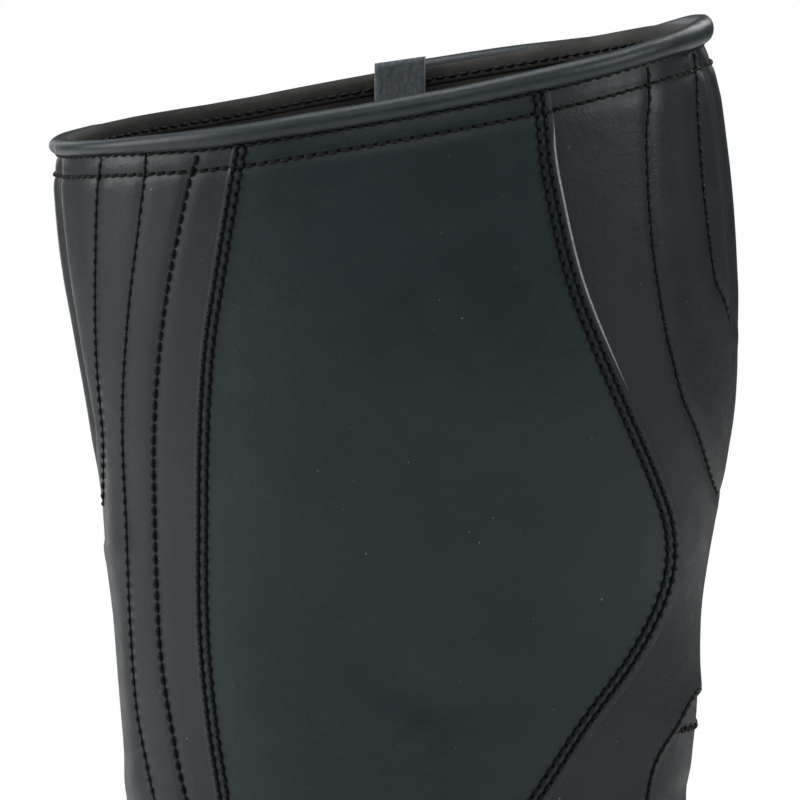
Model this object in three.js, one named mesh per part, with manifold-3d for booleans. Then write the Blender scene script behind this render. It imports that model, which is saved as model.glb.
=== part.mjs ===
// A tall biker boot for the right foot, in millimetres: toe towards +X, inner side towards +Y, +Z up.
// The origin is on the ground, under the middle of the heel.
import * as THREE from "three";
import { mergeVertices } from "three/addons/utils/BufferGeometryUtils.js";
import Module from "manifold-3d";

// Foot of the boot
const LAST_LENGTH = 302; // back of the heel to the tip of the toe
const HEEL_SETBACK = 42; // back of the heel behind the middle of the heel block
const BALL_WIDTH = 100;
const HEEL_WIDTH = 70;
const TOE_SWING = 9; // how far the toe turns towards the inner side
const INSTEP_HEIGHT = 123; // fold of the instep above the ball of the foot
const ANKLE_HEIGHT = 135; // back of the ankle above the heel seat

// Shaft
const SHAFT_BACK = -50.7; // rearmost line of the shaft, from the middle of the heel
const CALF_DEPTH = 158.4; // front to back
const CALF_WIDTH = 117; // side to side
const COLLAR_BACK = 346; // height of the top edge over the floor, at the back
const COLLAR_FRONT = 372;

// Leather
const WALL = 1.6;
const PANEL = 1; // shin, back and flex panels
const SIDE_PANEL = 2; // doubled side panels
const RIB = 0.9; // how far the ribs stand out of the flex panel
const RIB_WIDTH = 6.5;
const RIB_PITCH = 13;
const PIPING = 4.4; // diameter of the rolled collar cord
const STRAP_WIDTH = 12.4;
const STRAP_THICK = 2;
const STRAP_DEPTH = 78; // how far the strap reaches down inside
const STRAP_OFFSET = 30; // middle of the strap ahead of the heel's middle

// Sole
const LUG = 4;
const PLATE = 4.5;
const MIDSOLE = 5;
const INSOLE = 3;
const INSOLE_EASE = 0.2; // all round, and a little more at its upper edge
const INSOLE_DRAFT = 0.4;
const HEEL_LIFT = 25; // heel block, ground to plate
const TOE_SPRING = 9;
const WELT = 3.5; // how far the midsole stands out of the upper
const PLATE_STEP = 0.8; // how far the outsole's rim stands out of the midsole
const LUG_INSET = 1.6; // the tread's edge, in from the plate's rim
const LUG_DRAFT = 0.6; // the lugs' slope, inwards to the ground
const HEEL_TAPER = 2;
const HEEL_BREAST = 42; // front face of the heel block
const GROOVE = 4.5;
const LUG_PITCH = 14.6;
const HEEL_GROOVE_PITCH = 20;
const RAIL = 16; // lengthwise grooves, from the middle line
const GAP = 0.3; // clearance between pieces that meet

const BALL_LEVEL = LUG + PLATE + MIDSOLE + 2 * GAP;
const SEAT_LEVEL = HEEL_LIFT + PLATE + MIDSOLE + 3 * GAP;
const HEEL_BACK = -HEEL_SETBACK;

// Where the sole's curve changes, and its tread, as shares of the length from the back of the heel
const SHANK = { start: 0.21, end: 0.55 };
const SPRING = { start: 0.77, end: 0.98 };
const TREAD = { start: 0.483, end: 0.967 };

const SIDE_SEGMENTS = 17; // along each side, front to back
const AROUND = 2 * SIDE_SEGMENTS;
const TURN_WEIGHT = 0.45; // share of the points that is spread by how much the outline turns

// Table rows as objects with the columns' names.
const named = (columns, rows) =>
  rows.map((row) => Object.fromEntries(columns.map((column, k) => [column, row[k]])));

// Sections of the foot. back and front are shares of the length; backRise is a share of
// ANKLE_HEIGHT over the seat and frontRise of INSTEP_HEIGHT over the ball; heel is the half-width
// there as a share of half of HEEL_WIDTH, and waist, ball and toe of half of BALL_WIDTH;
// blunt is the squareness of the front end; curve and swing say how much of the sole's own curve
// and of the toe's turn the section follows.
const FOOT_SECTIONS = named(
  ["back", "backRise", "front", "frontRise", "heel", "waist", "ball", "toe", "blunt", "curve", "swing"],
  [
    [0.013, 0, 0.985, 0.073, 1.06, 0.62, 0.96, 0.84, 2.5, 1, 1],
    [0.005, 0.074, 0.998, 0.154, 1.12, 0.68, 1.02, 0.92, 2.5, 0.9, 1],
    [0, 0.17, 1, 0.243, 1.14, 0.72, 1.03, 0.94, 2.5, 0.7, 1],
    [0.003, 0.274, 0.978, 0.333, 1.12, 0.75, 0.99, 0.88, 2.45, 0.45, 0.95],
    [0.012, 0.393, 0.932, 0.406, 1.09, 0.77, 0.92, 0.76, 2.4, 0.25, 0.85],
    [0.02, 0.511, 0.863, 0.471, 1.06, 0.785, 0.85, 0.64, 2.3, 0.1, 0.7],
    [0.026, 0.63, 0.787, 0.536, 1.05, 0.795, 0.8, 0.56, 2.2, 0, 0.55],
    [0.03, 0.733, 0.714, 0.617, 1.05, 0.805, 0.775, 0.52, 2.15, 0, 0.4],
    [0.031, 0.83, 0.648, 0.723, 1.07, 0.815, 0.77, 0.54, 2.1, 0, 0.25],
    [0.031, 0.919, 0.582, 0.853, 1.1, 0.83, 0.79, 0.58, 2.1, 0, 0.12],
    [0.029, 1, 0.527, 1, 1.14, 0.85, 0.82, 0.64, 2.1, 0, 0.05],
  ],
);

// Sections of the shaft. back and front are shares of CALF_DEPTH; backRise and frontRise go from
// the last foot section to the collar; the half-widths are shares of half of CALF_WIDTH.
const SHAFT_SECTIONS = named(
  ["back", "backRise", "front", "frontRise", "heel", "waist", "ball", "toe"],
  [
    [0.113, 0.063, 0.972, 0.081, 0.71, 0.75, 0.725, 0.6],
    [0.11, 0.131, 0.93, 0.166, 0.74, 0.775, 0.75, 0.66],
    [0.107, 0.205, 0.923, 0.251, 0.77, 0.8, 0.785, 0.71],
    [0.1, 0.295, 0.942, 0.34, 0.8, 0.83, 0.81, 0.76],
    [0.089, 0.415, 0.948, 0.451, 0.845, 0.87, 0.855, 0.81],
    [0.076, 0.528, 0.973, 0.549, 0.89, 0.915, 0.9, 0.855],
    [0.056, 0.648, 0.998, 0.651, 0.93, 0.955, 0.94, 0.9],
    [0.033, 0.767, 1.002, 0.745, 0.965, 0.99, 0.975, 0.93],
    [0.011, 0.875, 0.995, 0.838, 0.98, 1.01, 0.99, 0.95],
    [0.001, 0.955, 0.981, 0.928, 0.99, 1.015, 1, 0.955],
    [0, 1, 0.966, 1, 0.99, 1.015, 1, 0.955],
  ],
);
const SHAFT_BLUNT = 2.1;
const HEEL_BLUNT = { foot: 2.6, shaft: 2.1 };
const LEVELS = [0, 1, 2, 2.5, 3, 3.5, 4, 4.5, 5, 6, 7, 8, 9, 10, 11, 12, 13, 14, 15, 16, 17, 18, 19, 20, 21];

// How the middle line of the foot bends, as shares of TOE_SWING from heel to toe
const MIDDLE_LINE = [0, -0.35, -0.05, 1];

// Borders of the panels in side view: along is a share of CALF_DEPTH from the rearmost line and
// up a share of COLLAR_BACK from the floor. They run from above the collar down to the low tip.
const FRONT_BORDER = [
  { along: 0.728, up: 1.12 },
  { along: 0.737, up: 1.03 },
  { along: 0.751, up: 0.987 },
  { along: 0.778, up: 0.935 },
  { along: 0.819, up: 0.885 },
  { along: 0.897, up: 0.799 },
  { along: 0.924, up: 0.755 },
  { along: 0.917, up: 0.715 },
  { along: 0.872, up: 0.67 },
  { along: 0.79, up: 0.62 },
  { along: 0.721, up: 0.573 },
  { along: 0.573, up: 0.477 },
  { along: 0.427, up: 0.376 },
  { along: 0.368, up: 0.323 },
  { along: 0.342, up: 0.297 },
];
const BACK_BORDER = [
  { along: 0.276, up: 1.12 },
  { along: 0.262, up: 1.03 },
  { along: 0.234, up: 0.945 },
  { along: 0.213, up: 0.875 },
  { along: 0.204, up: 0.77 },
  { along: 0.206, up: 0.7 },
  { along: 0.221, up: 0.627 },
  { along: 0.238, up: 0.572 },
  { along: 0.262, up: 0.48 },
  { along: 0.28, up: 0.38 },
  { along: 0.29, up: 0.325 },
  { along: 0.302, up: 0.297 },
];
const PANEL_TIP = { along: 0.322, up: 0.287 };
const HEEL_SEAM_FOOT = { along: 0.41, up: 0.05 }; // where the seam under the tip meets the sole
// Edge of the flex panel, from the arch at the front down both sides to the top of the vamp
const FLEX_BORDER = [
  { along: 1.02, up: 0.645 },
  { along: 0.958, up: 0.638 },
  { along: 0.924, up: 0.616 },
  { along: 0.888, up: 0.59 },
  { along: 0.872, up: 0.549 },
  { along: 0.879, up: 0.514 },
  { along: 0.901, up: 0.477 },
  { along: 0.945, up: 0.439 },
  { along: 1.002, up: 0.408 },
];
const FLEX_FOOT = [
  { along: 1.078, up: 0.387 },
  { along: 1.24, up: 0.372 },
];
const VAMP_SEAM = [
  { along: 0.955, up: 0.34 },
  { along: 0.93, up: 0.26 },
  { along: 0.94, up: 0.16 },
  { along: 0.98, up: 0.02 },
];

const wasm = await Module();
wasm.setup();

const mix = (a, b, t) => a + (b - a) * t;
const clamp01 = (t) => Math.min(1, Math.max(0, t));

// Smooth curve through values at equal steps, read at t from 0 to the last index.
function smooth(values, t) {
  const last = values.length - 1;
  const i = Math.min(last - 1, Math.max(0, Math.floor(t)));
  const f = t - i;
  const at = (k) => {
    if (k < 0) return 2 * values[0] - values[1];
    if (k > last) return 2 * values[last] - values[last - 1];
    return values[k];
  };
  const [a, b, c, d] = [at(i - 1), at(i), at(i + 1), at(i + 2)];
  const slope0 = (c - a) / 2;
  const slope1 = (d - b) / 2;
  const f2 = f * f;
  const f3 = f2 * f;
  return (2 * f3 - 3 * f2 + 1) * b + (f3 - 2 * f2 + f) * slope0 + (3 * f2 - 2 * f3) * c + (f3 - f2) * slope1;
}

// Height of the upper's lower edge, where it meets the sole: seat, shank, ball and toe spring.
function featherHeight(x) {
  const share = (x - HEEL_BACK) / LAST_LENGTH;
  const drop = clamp01((share - SHANK.start) / (SHANK.end - SHANK.start));
  const rise = Math.max(0, (share - SPRING.start) / (SPRING.end - SPRING.start));
  const eased = drop * drop * (3 - 2 * drop);
  return mix(SEAT_LEVEL, BALL_LEVEL, eased) + TOE_SPRING * rise ** 1.6;
}

const lastX = (share) => HEEL_BACK + share * LAST_LENGTH;
const shaftX = (share) => SHAFT_BACK + share * CALF_DEPTH;

// Every section in millimetres: foot and shaft rows in one list.
function sectionTable() {
  const rows = FOOT_SECTIONS.map((r, k) => ({
    backX: lastX(r.back),
    frontX: lastX(r.front),
    backZ: SEAT_LEVEL + r.backRise * ANKLE_HEIGHT,
    frontZ: BALL_LEVEL + r.frontRise * INSTEP_HEIGHT,
    heel: (r.heel * HEEL_WIDTH) / 2,
    waist: (r.waist * BALL_WIDTH) / 2,
    ball: (r.ball * BALL_WIDTH) / 2,
    toe: (r.toe * BALL_WIDTH) / 2,
    blunt: r.blunt,
    heelBlunt: mix(HEEL_BLUNT.foot, HEEL_BLUNT.shaft, k / (FOOT_SECTIONS.length - 1)),
    curve: r.curve,
    swing: r.swing,
  }));
  rows[0].backZ = featherHeight(rows[0].backX);
  rows[0].frontZ = featherHeight(rows[0].frontX);
  const fold = rows[rows.length - 1];
  for (const r of SHAFT_SECTIONS)
    rows.push({
      backX: shaftX(r.back),
      frontX: shaftX(r.front),
      backZ: mix(fold.backZ, COLLAR_BACK, r.backRise),
      frontZ: mix(fold.frontZ, COLLAR_FRONT, r.frontRise),
      heel: (r.heel * CALF_WIDTH) / 2,
      waist: (r.waist * CALF_WIDTH) / 2,
      ball: (r.ball * CALF_WIDTH) / 2,
      toe: (r.toe * CALF_WIDTH) / 2,
      blunt: SHAFT_BLUNT,
      heelBlunt: HEEL_BLUNT.shaft,
      curve: 0,
      swing: 0,
    });
  return rows;
}
const SECTIONS = sectionTable();
const COLUMNS = Object.keys(SECTIONS[0]);

// The section at a level between the rows.
function sectionAt(level) {
  const section = {};
  for (const column of COLUMNS)
    section[column] = smooth(SECTIONS.map((r) => r[column]), level);
  return section;
}

// Half-width of a section at share s from its back to its front, without the toe's turn.
function halfWidth(section, s) {
  const width = smooth([section.heel, section.waist, section.ball, section.toe], 3 * s);
  const blunt = s < 0.5 ? section.heelBlunt : section.blunt;
  return width * (1 - Math.abs(2 * s - 1) ** blunt) ** (1 / blunt);
}

// Shares s of the points along one side, front to back, closer together where the outline turns.
function spread(section) {
  const steps = 240;
  const length = section.frontX - section.backX;
  const points = [];
  for (let k = 0; k <= steps; k++) {
    const s = (1 + Math.cos((Math.PI * k) / steps)) / 2;
    points.push([s, s * length, halfWidth(section, s)]);
  }
  const run = [0];
  const turn = [0];
  let heading = -Math.PI / 2;
  for (let k = 1; k <= steps; k++) {
    const dx = points[k - 1][1] - points[k][1];
    const dy = points[k][2] - points[k - 1][2];
    const next = -Math.atan2(dy, dx);
    run.push(run[k - 1] + Math.hypot(dx, dy));
    turn.push(turn[k - 1] + Math.abs(next - heading));
    heading = next;
  }
  const place = run.map((r, k) => mix(r / run[steps], turn[k] / turn[steps], TURN_WEIGHT));
  const shares = [1];
  let k = 1;
  for (let i = 1; i < SIDE_SEGMENTS; i++) {
    const wanted = i / SIDE_SEGMENTS;
    while (place[k] < wanted) k++;
    const t = (wanted - place[k - 1]) / (place[k] - place[k - 1]);
    shares.push(mix(points[k - 1][0], points[k][0], t));
  }
  shares.push(0);
  return shares;
}

// One closed section: front point first, down the outer side to the back, up the inner side.
function ring(level) {
  const section = sectionAt(level);
  const shares = spread(section);
  const place = (s, side) => {
    const x = mix(section.backX, section.frontX, s);
    const sole = mix(featherHeight(section.backX), featherHeight(section.frontX), s);
    const z = mix(section.backZ, section.frontZ, s) + section.curve * (featherHeight(x) - sole);
    const middle = TOE_SWING * section.swing * smooth(MIDDLE_LINE, 3 * s);
    return new THREE.Vector3(x, middle + side * halfWidth(section, s), z);
  };
  const points = shares.map((s) => place(s, -1));
  for (let i = SIDE_SEGMENTS - 1; i > 0; i--) points.push(place(shares[i], 1));
  return points;
}

const RINGS = LEVELS.map(ring);

// Directions square to the surface at every point, as the mean of the faces round it; level at the
// two open edges. Each is long enough to clear the faces by the full distance that it is given.
function outwards(rings) {
  const n = rings[0].length;
  const corner = (p, a, b) => a.clone().sub(p).cross(b.clone().sub(p)).normalize();
  return rings.map((points, k) =>
    points.map((p, i) => {
      const [fore, aft] = [points[(i + 1) % n], points[(i + n - 1) % n]];
      const faces = [];
      for (const other of [rings[k + 1], rings[k - 1]]) {
        if (!other) continue;
        const turn = other === rings[k + 1] ? 1 : -1;
        for (const [a, b] of [[other[i], fore], [aft, other[i]]])
          faces.push(corner(p, a, b).multiplyScalar(turn));
      }
      const normal = new THREE.Vector3();
      for (const face of faces) normal.add(face);
      if (k === 0 || k === rings.length - 1) normal.z = 0;
      normal.normalize();
      const least = Math.min(...faces.map((face) => face.dot(normal)));
      return normal.divideScalar(Math.max(least, 0.8));
    }),
  );
}
const OUT = outwards(RINGS);

// The same rings moved out by a distance, or in by a negative one.
const skin = (distance, rings = RINGS, out = OUT) =>
  rings.map((points, k) => points.map((p, i) => p.clone().addScaledVector(out[k][i], distance)));

// Solid from a list of closed rings; its two ends are closed by strips from side to side.
function solidFromRings(rings) {
  const n = rings[0].length;
  const faces = [];
  for (let k = 0; k + 1 < rings.length; k++)
    for (let i = 0; i < n; i++) {
      const [a, b] = [k * n + i, k * n + ((i + 1) % n)];
      faces.push([a, a + n, b + n], [a, b + n, b]);
    }
  const last = (rings.length - 1) * n;
  for (let i = 0; i < n / 2; i++) {
    const [a, b, c, d] = [i, i + 1, n - i - 1, (n - i) % n];
    for (const [p, q, r] of [[a, b, c], [a, c, d]]) {
      if (p === q || q === r || p === r) continue;
      faces.push([p, q, r], [last + p, last + r, last + q]);
    }
  }
  return solid(rings.flat(), faces);
}

// Ring-shaped solid whose section goes round from ring to ring and closes on the first.
function solidFromLoop(rings) {
  const n = rings[0].length;
  const m = rings.length;
  const faces = [];
  for (let k = 0; k < m; k++)
    for (let i = 0; i < n; i++) {
      const [a, b] = [k * n + i, k * n + ((i + 1) % n)];
      const [c, d] = [((k + 1) % m) * n + i, ((k + 1) % m) * n + ((i + 1) % n)];
      faces.push([a, c, d], [a, d, b]);
    }
  return solid(rings.flat(), faces);
}

function solid(points, faces) {
  const volume = faces.reduce(
    (sum, [a, b, c]) => sum + points[a].dot(points[b].clone().cross(points[c])),
    0,
  );
  const order = volume < 0 ? faces.map(([a, b, c]) => [a, c, b]) : faces;
  return new wasm.Manifold(
    new wasm.Mesh({
      numProp: 3,
      vertProperties: new Float32Array(points.flatMap((p) => p.toArray())),
      triVerts: new Uint32Array(order.flat()),
    }),
  );
}

// A three.js geometry as a solid.
function solidOf(geometry) {
  const plain = geometry.clone();
  plain.deleteAttribute("normal");
  plain.deleteAttribute("uv");
  const merged = mergeVertices(plain, 1e-4);
  return new wasm.Manifold(
    new wasm.Mesh({
      numProp: 3,
      vertProperties: new Float32Array(merged.attributes.position.array),
      triVerts: new Uint32Array(merged.index.array),
    }),
  );
}

function block(x0, x1, y0, y1, z0, z1) {
  const box = new THREE.BoxGeometry(x1 - x0, y1 - y0, z1 - z0);
  box.translate((x0 + x1) / 2, (y0 + y1) / 2, (z0 + z1) / 2);
  return solidOf(box);
}

// Outline in side view, cut straight through from y0 to y1.
function sideCut(outline, y0, y1) {
  const shape = new THREE.Shape(outline);
  const geometry = new THREE.ExtrudeGeometry(shape, { depth: y1 - y0, bevelEnabled: false });
  geometry.rotateX(Math.PI / 2);
  geometry.translate(0, y1, 0);
  return solidOf(geometry);
}

const FAR = 260; // past the boot on every side
const sidePoint = (p) => new THREE.Vector2(shaftX(p.along), p.up * COLLAR_BACK);
const border = (rows, steps) => new THREE.SplineCurve(rows.map(sidePoint)).getPoints(steps);

// Border moved sideways in the side view, so that two panels meet with a gap.
function moved(points, distance) {
  return points.map((p, i) => {
    const before = points[Math.max(0, i - 1)];
    const after = points[Math.min(points.length - 1, i + 1)];
    const along = after.clone().sub(before).normalize();
    return new THREE.Vector2(p.x + along.y * distance, p.y - along.x * distance);
  });
}

const frontEdge = border([...FRONT_BORDER, PANEL_TIP], 26);
const backEdge = border([...BACK_BORDER, PANEL_TIP], 16);
const flexEdge = border(FLEX_BORDER, 12);
const flexFoot = FLEX_FOOT.map(sidePoint);
const seamFoot = sidePoint(HEEL_SEAM_FOOT);

// Open sleeve between two distances from the upper's outer face. Both faces are split along the
// same diagonals as every other sleeve, so that sleeves nested with a gap stay clear.
function sleeve(inner, outer, rings = RINGS, out = OUT) {
  const n = rings[0].length;
  const count = n * rings.length;
  const faces = [];
  for (let k = 0; k < rings.length; k++)
    for (let i = 0; i < n; i++) {
      const [a, b] = [k * n + i, k * n + ((i + 1) % n)];
      if (k === 0) faces.push([a, b, b + count], [a, b + count, a + count]);
      if (k === rings.length - 1) {
        faces.push([a, b + count, b], [a, a + count, b + count]);
        continue;
      }
      const [c, d] = [a + n, b + n];
      faces.push([a, c, d], [a, d, b]);
      faces.push([a + count, d + count, c + count], [a + count, b + count, d + count]);
    }
  return solid([...skin(outer, rings, out).flat(), ...skin(inner, rings, out).flat()], faces);
}

const upper = () => sleeve(-WALL, 0);

function sidePanel(side) {
  const outline = [...frontEdge, ...backEdge.slice(0, -1).toReversed()];
  const cut = side < 0 ? sideCut(outline, -FAR, 0) : sideCut(outline, 0, FAR);
  return sleeve(GAP, GAP + SIDE_PANEL).intersect(cut);
}

function shinPanel() {
  const outline = [
    ...moved(frontEdge, -GAP),
    new THREE.Vector2(seamFoot.x + GAP, seamFoot.y - GAP),
    new THREE.Vector2(seamFoot.x + GAP, -FAR),
    new THREE.Vector2(sidePoint(VAMP_SEAM.at(-1)).x, -FAR),
    ...border([FLEX_BORDER.at(-1), ...VAMP_SEAM], 6).toReversed(),
    ...flexEdge.slice(0, -1).toReversed(),
    new THREE.Vector2(FAR, flexEdge[0].y),
    new THREE.Vector2(FAR, frontEdge[0].y),
  ];
  return sleeve(GAP, GAP + PANEL).intersect(sideCut(outline, -FAR, FAR));
}

function backPanel() {
  const outline = [
    ...moved(backEdge, GAP),
    new THREE.Vector2(seamFoot.x - GAP, seamFoot.y - GAP),
    new THREE.Vector2(seamFoot.x - GAP, -FAR),
    new THREE.Vector2(-FAR, -FAR),
    new THREE.Vector2(-FAR, backEdge[0].y),
  ];
  return sleeve(GAP, GAP + PANEL).intersect(sideCut(outline, -FAR, FAR));
}

function flexPanel() {
  const outline = [
    ...moved(flexEdge, -GAP),
    ...flexFoot,
    new THREE.Vector2(FAR, flexFoot.at(-1).y),
    new THREE.Vector2(FAR, flexEdge[0].y - GAP),
  ];
  const area = sideCut(outline, -FAR, FAR);
  let panel = sleeve(GAP, GAP + PANEL).intersect(area);
  const ribs = sleeve(GAP, GAP + PANEL + RIB).intersect(area);
  const top = flexEdge[1].y;
  const low = flexFoot.at(-1).y;
  for (let z = top - RIB_PITCH; z > low + RIB_WIDTH; z -= RIB_PITCH)
    panel = panel.add(ribs.intersect(block(-FAR, FAR, -FAR, FAR, z - RIB_WIDTH, z)));
  return panel;
}

// Round cord on the collar's edge, over the whole thickness of the wall and side panels.
function collarPiping() {
  const sides = 7;
  const middle = (GAP + PANEL - WALL) / 2;
  const edge = skin(middle).at(-1);
  const out = OUT.at(-1);
  const loops = [];
  for (let j = 0; j < sides; j++) {
    const angle = (2 * Math.PI * (j + 0.5)) / sides;
    const [level, rise] = [Math.cos(angle), Math.sin(angle)];
    loops.push(
      edge.map((p, i) => {
        const centre = p.clone();
        centre.z += PIPING / 2 + GAP;
        centre.addScaledVector(out[i], (level * PIPING) / 2);
        centre.z += (rise * PIPING) / 2;
        return centre;
      }),
    );
  }
  return solidFromLoop(loops);
}

// Strap against the inside of the inner wall, from the collar's top downwards.
function pullStrap() {
  const back = (PIPING + WALL - GAP - PANEL) / 2 + GAP;
  const risen = RINGS.at(-1).map((p) => p.clone().setZ(p.z + PIPING + GAP));
  const rings = [...RINGS, risen];
  const out = [...OUT, OUT.at(-1)];
  const top = COLLAR_FRONT + FAR;
  const low = (COLLAR_BACK + COLLAR_FRONT) / 2 - STRAP_DEPTH;
  const [x0, x1] = [STRAP_OFFSET - STRAP_WIDTH / 2, STRAP_OFFSET + STRAP_WIDTH / 2];
  const cut = block(x0, x1, 0, FAR, low, top);
  return sleeve(-back - STRAP_THICK, -back, rings, out).intersect(cut);
}

const FEATHER = RINGS[0];

// Sole outline: the upper's lower edge moved out level, at heights given by a function of the
// point's place on that edge.
const soleRing = (distance, height) =>
  FEATHER.map((p, i) => {
    const moved = p.clone().addScaledVector(OUT[0][i], distance);
    return moved.setZ(height(p));
  });
const soleLayer = (low, high, lowOut, highOut = lowOut) =>
  solidFromRings([soleRing(lowOut, low), soleRing(highOut, high)]);

const midsoleTop = (p) => p.z - GAP;
const plateTop = (p) => midsoleTop(p) - MIDSOLE - GAP;
const plateLow = (p) => plateTop(p) - PLATE;

function insole() {
  const edge = -(WALL + GAP + INSOLE_EASE);
  return soleLayer((p) => p.z, (p) => p.z + INSOLE, edge, edge - INSOLE_DRAFT);
}

function midsole() {
  return soleLayer((p) => midsoleTop(p) - MIDSOLE, midsoleTop, WELT);
}

function outsole() {
  const rim = WELT + PLATE_STEP;
  const plate = solidFromRings([
    soleRing(rim - LUG_INSET, plateLow),
    soleRing(rim, (p) => plateLow(p) + PLATE / 3),
    soleRing(rim, plateTop),
  ]);
  const ground = (p) => plateLow(p) - LUG;
  const root = (p) => plateLow(p) + PLATE / 4;
  const start = lastX(TREAD.start);
  let lugs = soleLayer(ground, root, rim - LUG_INSET - LUG_DRAFT, rim - LUG_INSET);
  lugs = lugs.intersect(block(start, lastX(1) + FAR, -FAR, FAR, -LUG, FAR));
  for (let x = start + LUG_PITCH - GROOVE; x < lastX(TREAD.end); x += LUG_PITCH)
    lugs = lugs.subtract(crossGroove(x));
  for (const y of [-RAIL, RAIL])
    lugs = lugs.subtract(railGroove(y));
  return plate.add(lugs);
}

const plateHeightAt = (x) => featherHeight(x) - 2 * GAP - MIDSOLE - PLATE;

// Groove across the tread, as deep as the lugs.
function crossGroove(x) {
  const level = Math.min(plateHeightAt(x), plateHeightAt(x + GROOVE));
  return block(x, x + GROOVE, -FAR, FAR, -FAR, level);
}

// Lengthwise groove in the flat of the tread.
function railGroove(y) {
  return block(lastX(TREAD.start) - GROOVE, lastX(SPRING.start), y - GROOVE / 2, y + GROOVE / 2, -FAR, LUG);
}

function heel() {
  const rim = WELT + PLATE_STEP;
  const body = solidFromRings([
    soleRing(rim - LUG_INSET - HEEL_TAPER, () => 0),
    soleRing(rim - LUG_INSET, (p) => plateLow(p) - GAP),
  ]);
  let lift = body.intersect(block(-FAR, HEEL_BREAST, -FAR, FAR, -FAR, FAR));
  const cut = (x) => block(x - GROOVE / 2, x + GROOVE / 2, -FAR, FAR, -FAR, LUG);
  for (let x = HEEL_GROOVE_PITCH / 2; x < HEEL_SETBACK; x += HEEL_GROOVE_PITCH)
    lift = lift.subtract(cut(x)).subtract(cut(-x));
  return lift;
}

const LEATHER = { color: 0x202428, roughness: 0.5, metalness: 0 };
const SUEDE = { color: 0x464c50, roughness: 0.95, metalness: 0 };
const RUBBER = { color: 0x141414, roughness: 0.8, metalness: 0 };
const EDGE_LEATHER = { color: 0x1b1a19, roughness: 0.6, metalness: 0 };
const BOARD = { color: 0x3a352f, roughness: 0.9, metalness: 0 };

const boot = new THREE.Group();

function addPiece(name, body, finish) {
  const { vertProperties, triVerts } = body.getMesh();
  const geometry = new THREE.BufferGeometry();
  geometry.setAttribute("position", new THREE.BufferAttribute(new Float32Array(vertProperties), 3));
  geometry.setIndex(new THREE.BufferAttribute(new Uint32Array(triVerts), 1));
  geometry.computeVertexNormals();
  const piece = new THREE.Mesh(geometry, new THREE.MeshStandardMaterial(finish));
  piece.name = name;
  boot.add(piece);
}

addPiece("upper", upper(), LEATHER);
addPiece("shin_panel", shinPanel(), LEATHER);
addPiece("back_panel", backPanel(), LEATHER);
addPiece("side_panel_lateral", sidePanel(-1), LEATHER);
addPiece("side_panel_medial", sidePanel(1), LEATHER);
addPiece("flex_panel", flexPanel(), LEATHER);
addPiece("collar_piping", collarPiping(), LEATHER);
addPiece("pull_strap", pullStrap(), SUEDE);
addPiece("insole", insole(), BOARD);
addPiece("midsole", midsole(), EDGE_LEATHER);
addPiece("outsole", outsole(), RUBBER);
addPiece("heel", heel(), RUBBER);

export default boot;
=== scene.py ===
"""Looks of a tall biker boot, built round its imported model.

Lengths are in millimetres and become metres where a mesh is made. Toe towards +X, outer side of
the foot towards -Y. A place on the upper is (turn, level): turn is 0 at the front, 1 and -1 at the
back, positive on the outer side; level is the row of the section tables, 0 at the sole.
"""
import math

import bmesh
import bpy
import numpy as np
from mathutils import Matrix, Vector


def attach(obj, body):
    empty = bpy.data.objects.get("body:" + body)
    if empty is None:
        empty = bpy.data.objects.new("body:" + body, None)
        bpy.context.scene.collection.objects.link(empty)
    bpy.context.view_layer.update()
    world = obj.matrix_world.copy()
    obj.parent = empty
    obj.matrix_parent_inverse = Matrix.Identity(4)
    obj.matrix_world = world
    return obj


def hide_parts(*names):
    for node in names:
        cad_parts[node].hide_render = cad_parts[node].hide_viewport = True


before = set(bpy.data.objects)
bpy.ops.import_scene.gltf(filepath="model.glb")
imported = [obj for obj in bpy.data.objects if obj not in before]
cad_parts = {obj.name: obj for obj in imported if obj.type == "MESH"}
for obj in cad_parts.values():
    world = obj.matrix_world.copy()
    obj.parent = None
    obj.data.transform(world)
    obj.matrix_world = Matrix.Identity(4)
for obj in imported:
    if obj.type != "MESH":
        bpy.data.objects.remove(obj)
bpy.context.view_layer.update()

# Foot of the boot
LAST_LENGTH = 302
HEEL_SETBACK = 42
BALL_WIDTH = 100
HEEL_WIDTH = 70
TOE_SWING = 9
INSTEP_HEIGHT = 123
ANKLE_HEIGHT = 135

# Shaft
SHAFT_BACK = -50.7
CALF_DEPTH = 158.4
CALF_WIDTH = 117
COLLAR_BACK = 346
COLLAR_FRONT = 372

# Leather
WALL = 1.6
PANEL = 1
SIDE_PANEL = 2
RIB = 0.9
RIB_WIDTH = 6.5
RIB_PITCH = 13
PIPING = 4.4
STRAP_WIDTH = 12.4
STRAP_THICK = 2
STRAP_DEPTH = 78
STRAP_OFFSET = 30
GAP = 0.3

# Sole
LUG = 4
PLATE = 4.5
MIDSOLE = 5
INSOLE = 3
HEEL_LIFT = 25
TOE_SPRING = 9
WELT = 3.5
PLATE_STEP = 0.8
LUG_INSET = 1.6
HEEL_TAPER = 2
HEEL_BREAST = 42
GROOVE = 4.5
LUG_PITCH = 14.6
HEEL_GROOVE_PITCH = 20
RAIL = 16
BALL_LEVEL = LUG + PLATE + MIDSOLE + 2 * GAP
SEAT_LEVEL = HEEL_LIFT + PLATE + MIDSOLE + 3 * GAP
SHANK = (0.21, 0.55)
SPRING = (0.77, 0.98)
TREAD = (0.483, 0.967)

# The photo's view: its rise over the level, its scale and the boot's place in its 800 pixels
VIEW_RISE = math.radians(5)
MM_PER_PIXEL = 0.235
PHOTO_SIZE = 800
VIEW_X = 29.86
VIEW_Z = 289.9
VIEW_SEEN = VIEW_Z * math.cos(VIEW_RISE)
CAMERA_DISTANCE = 4000

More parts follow.
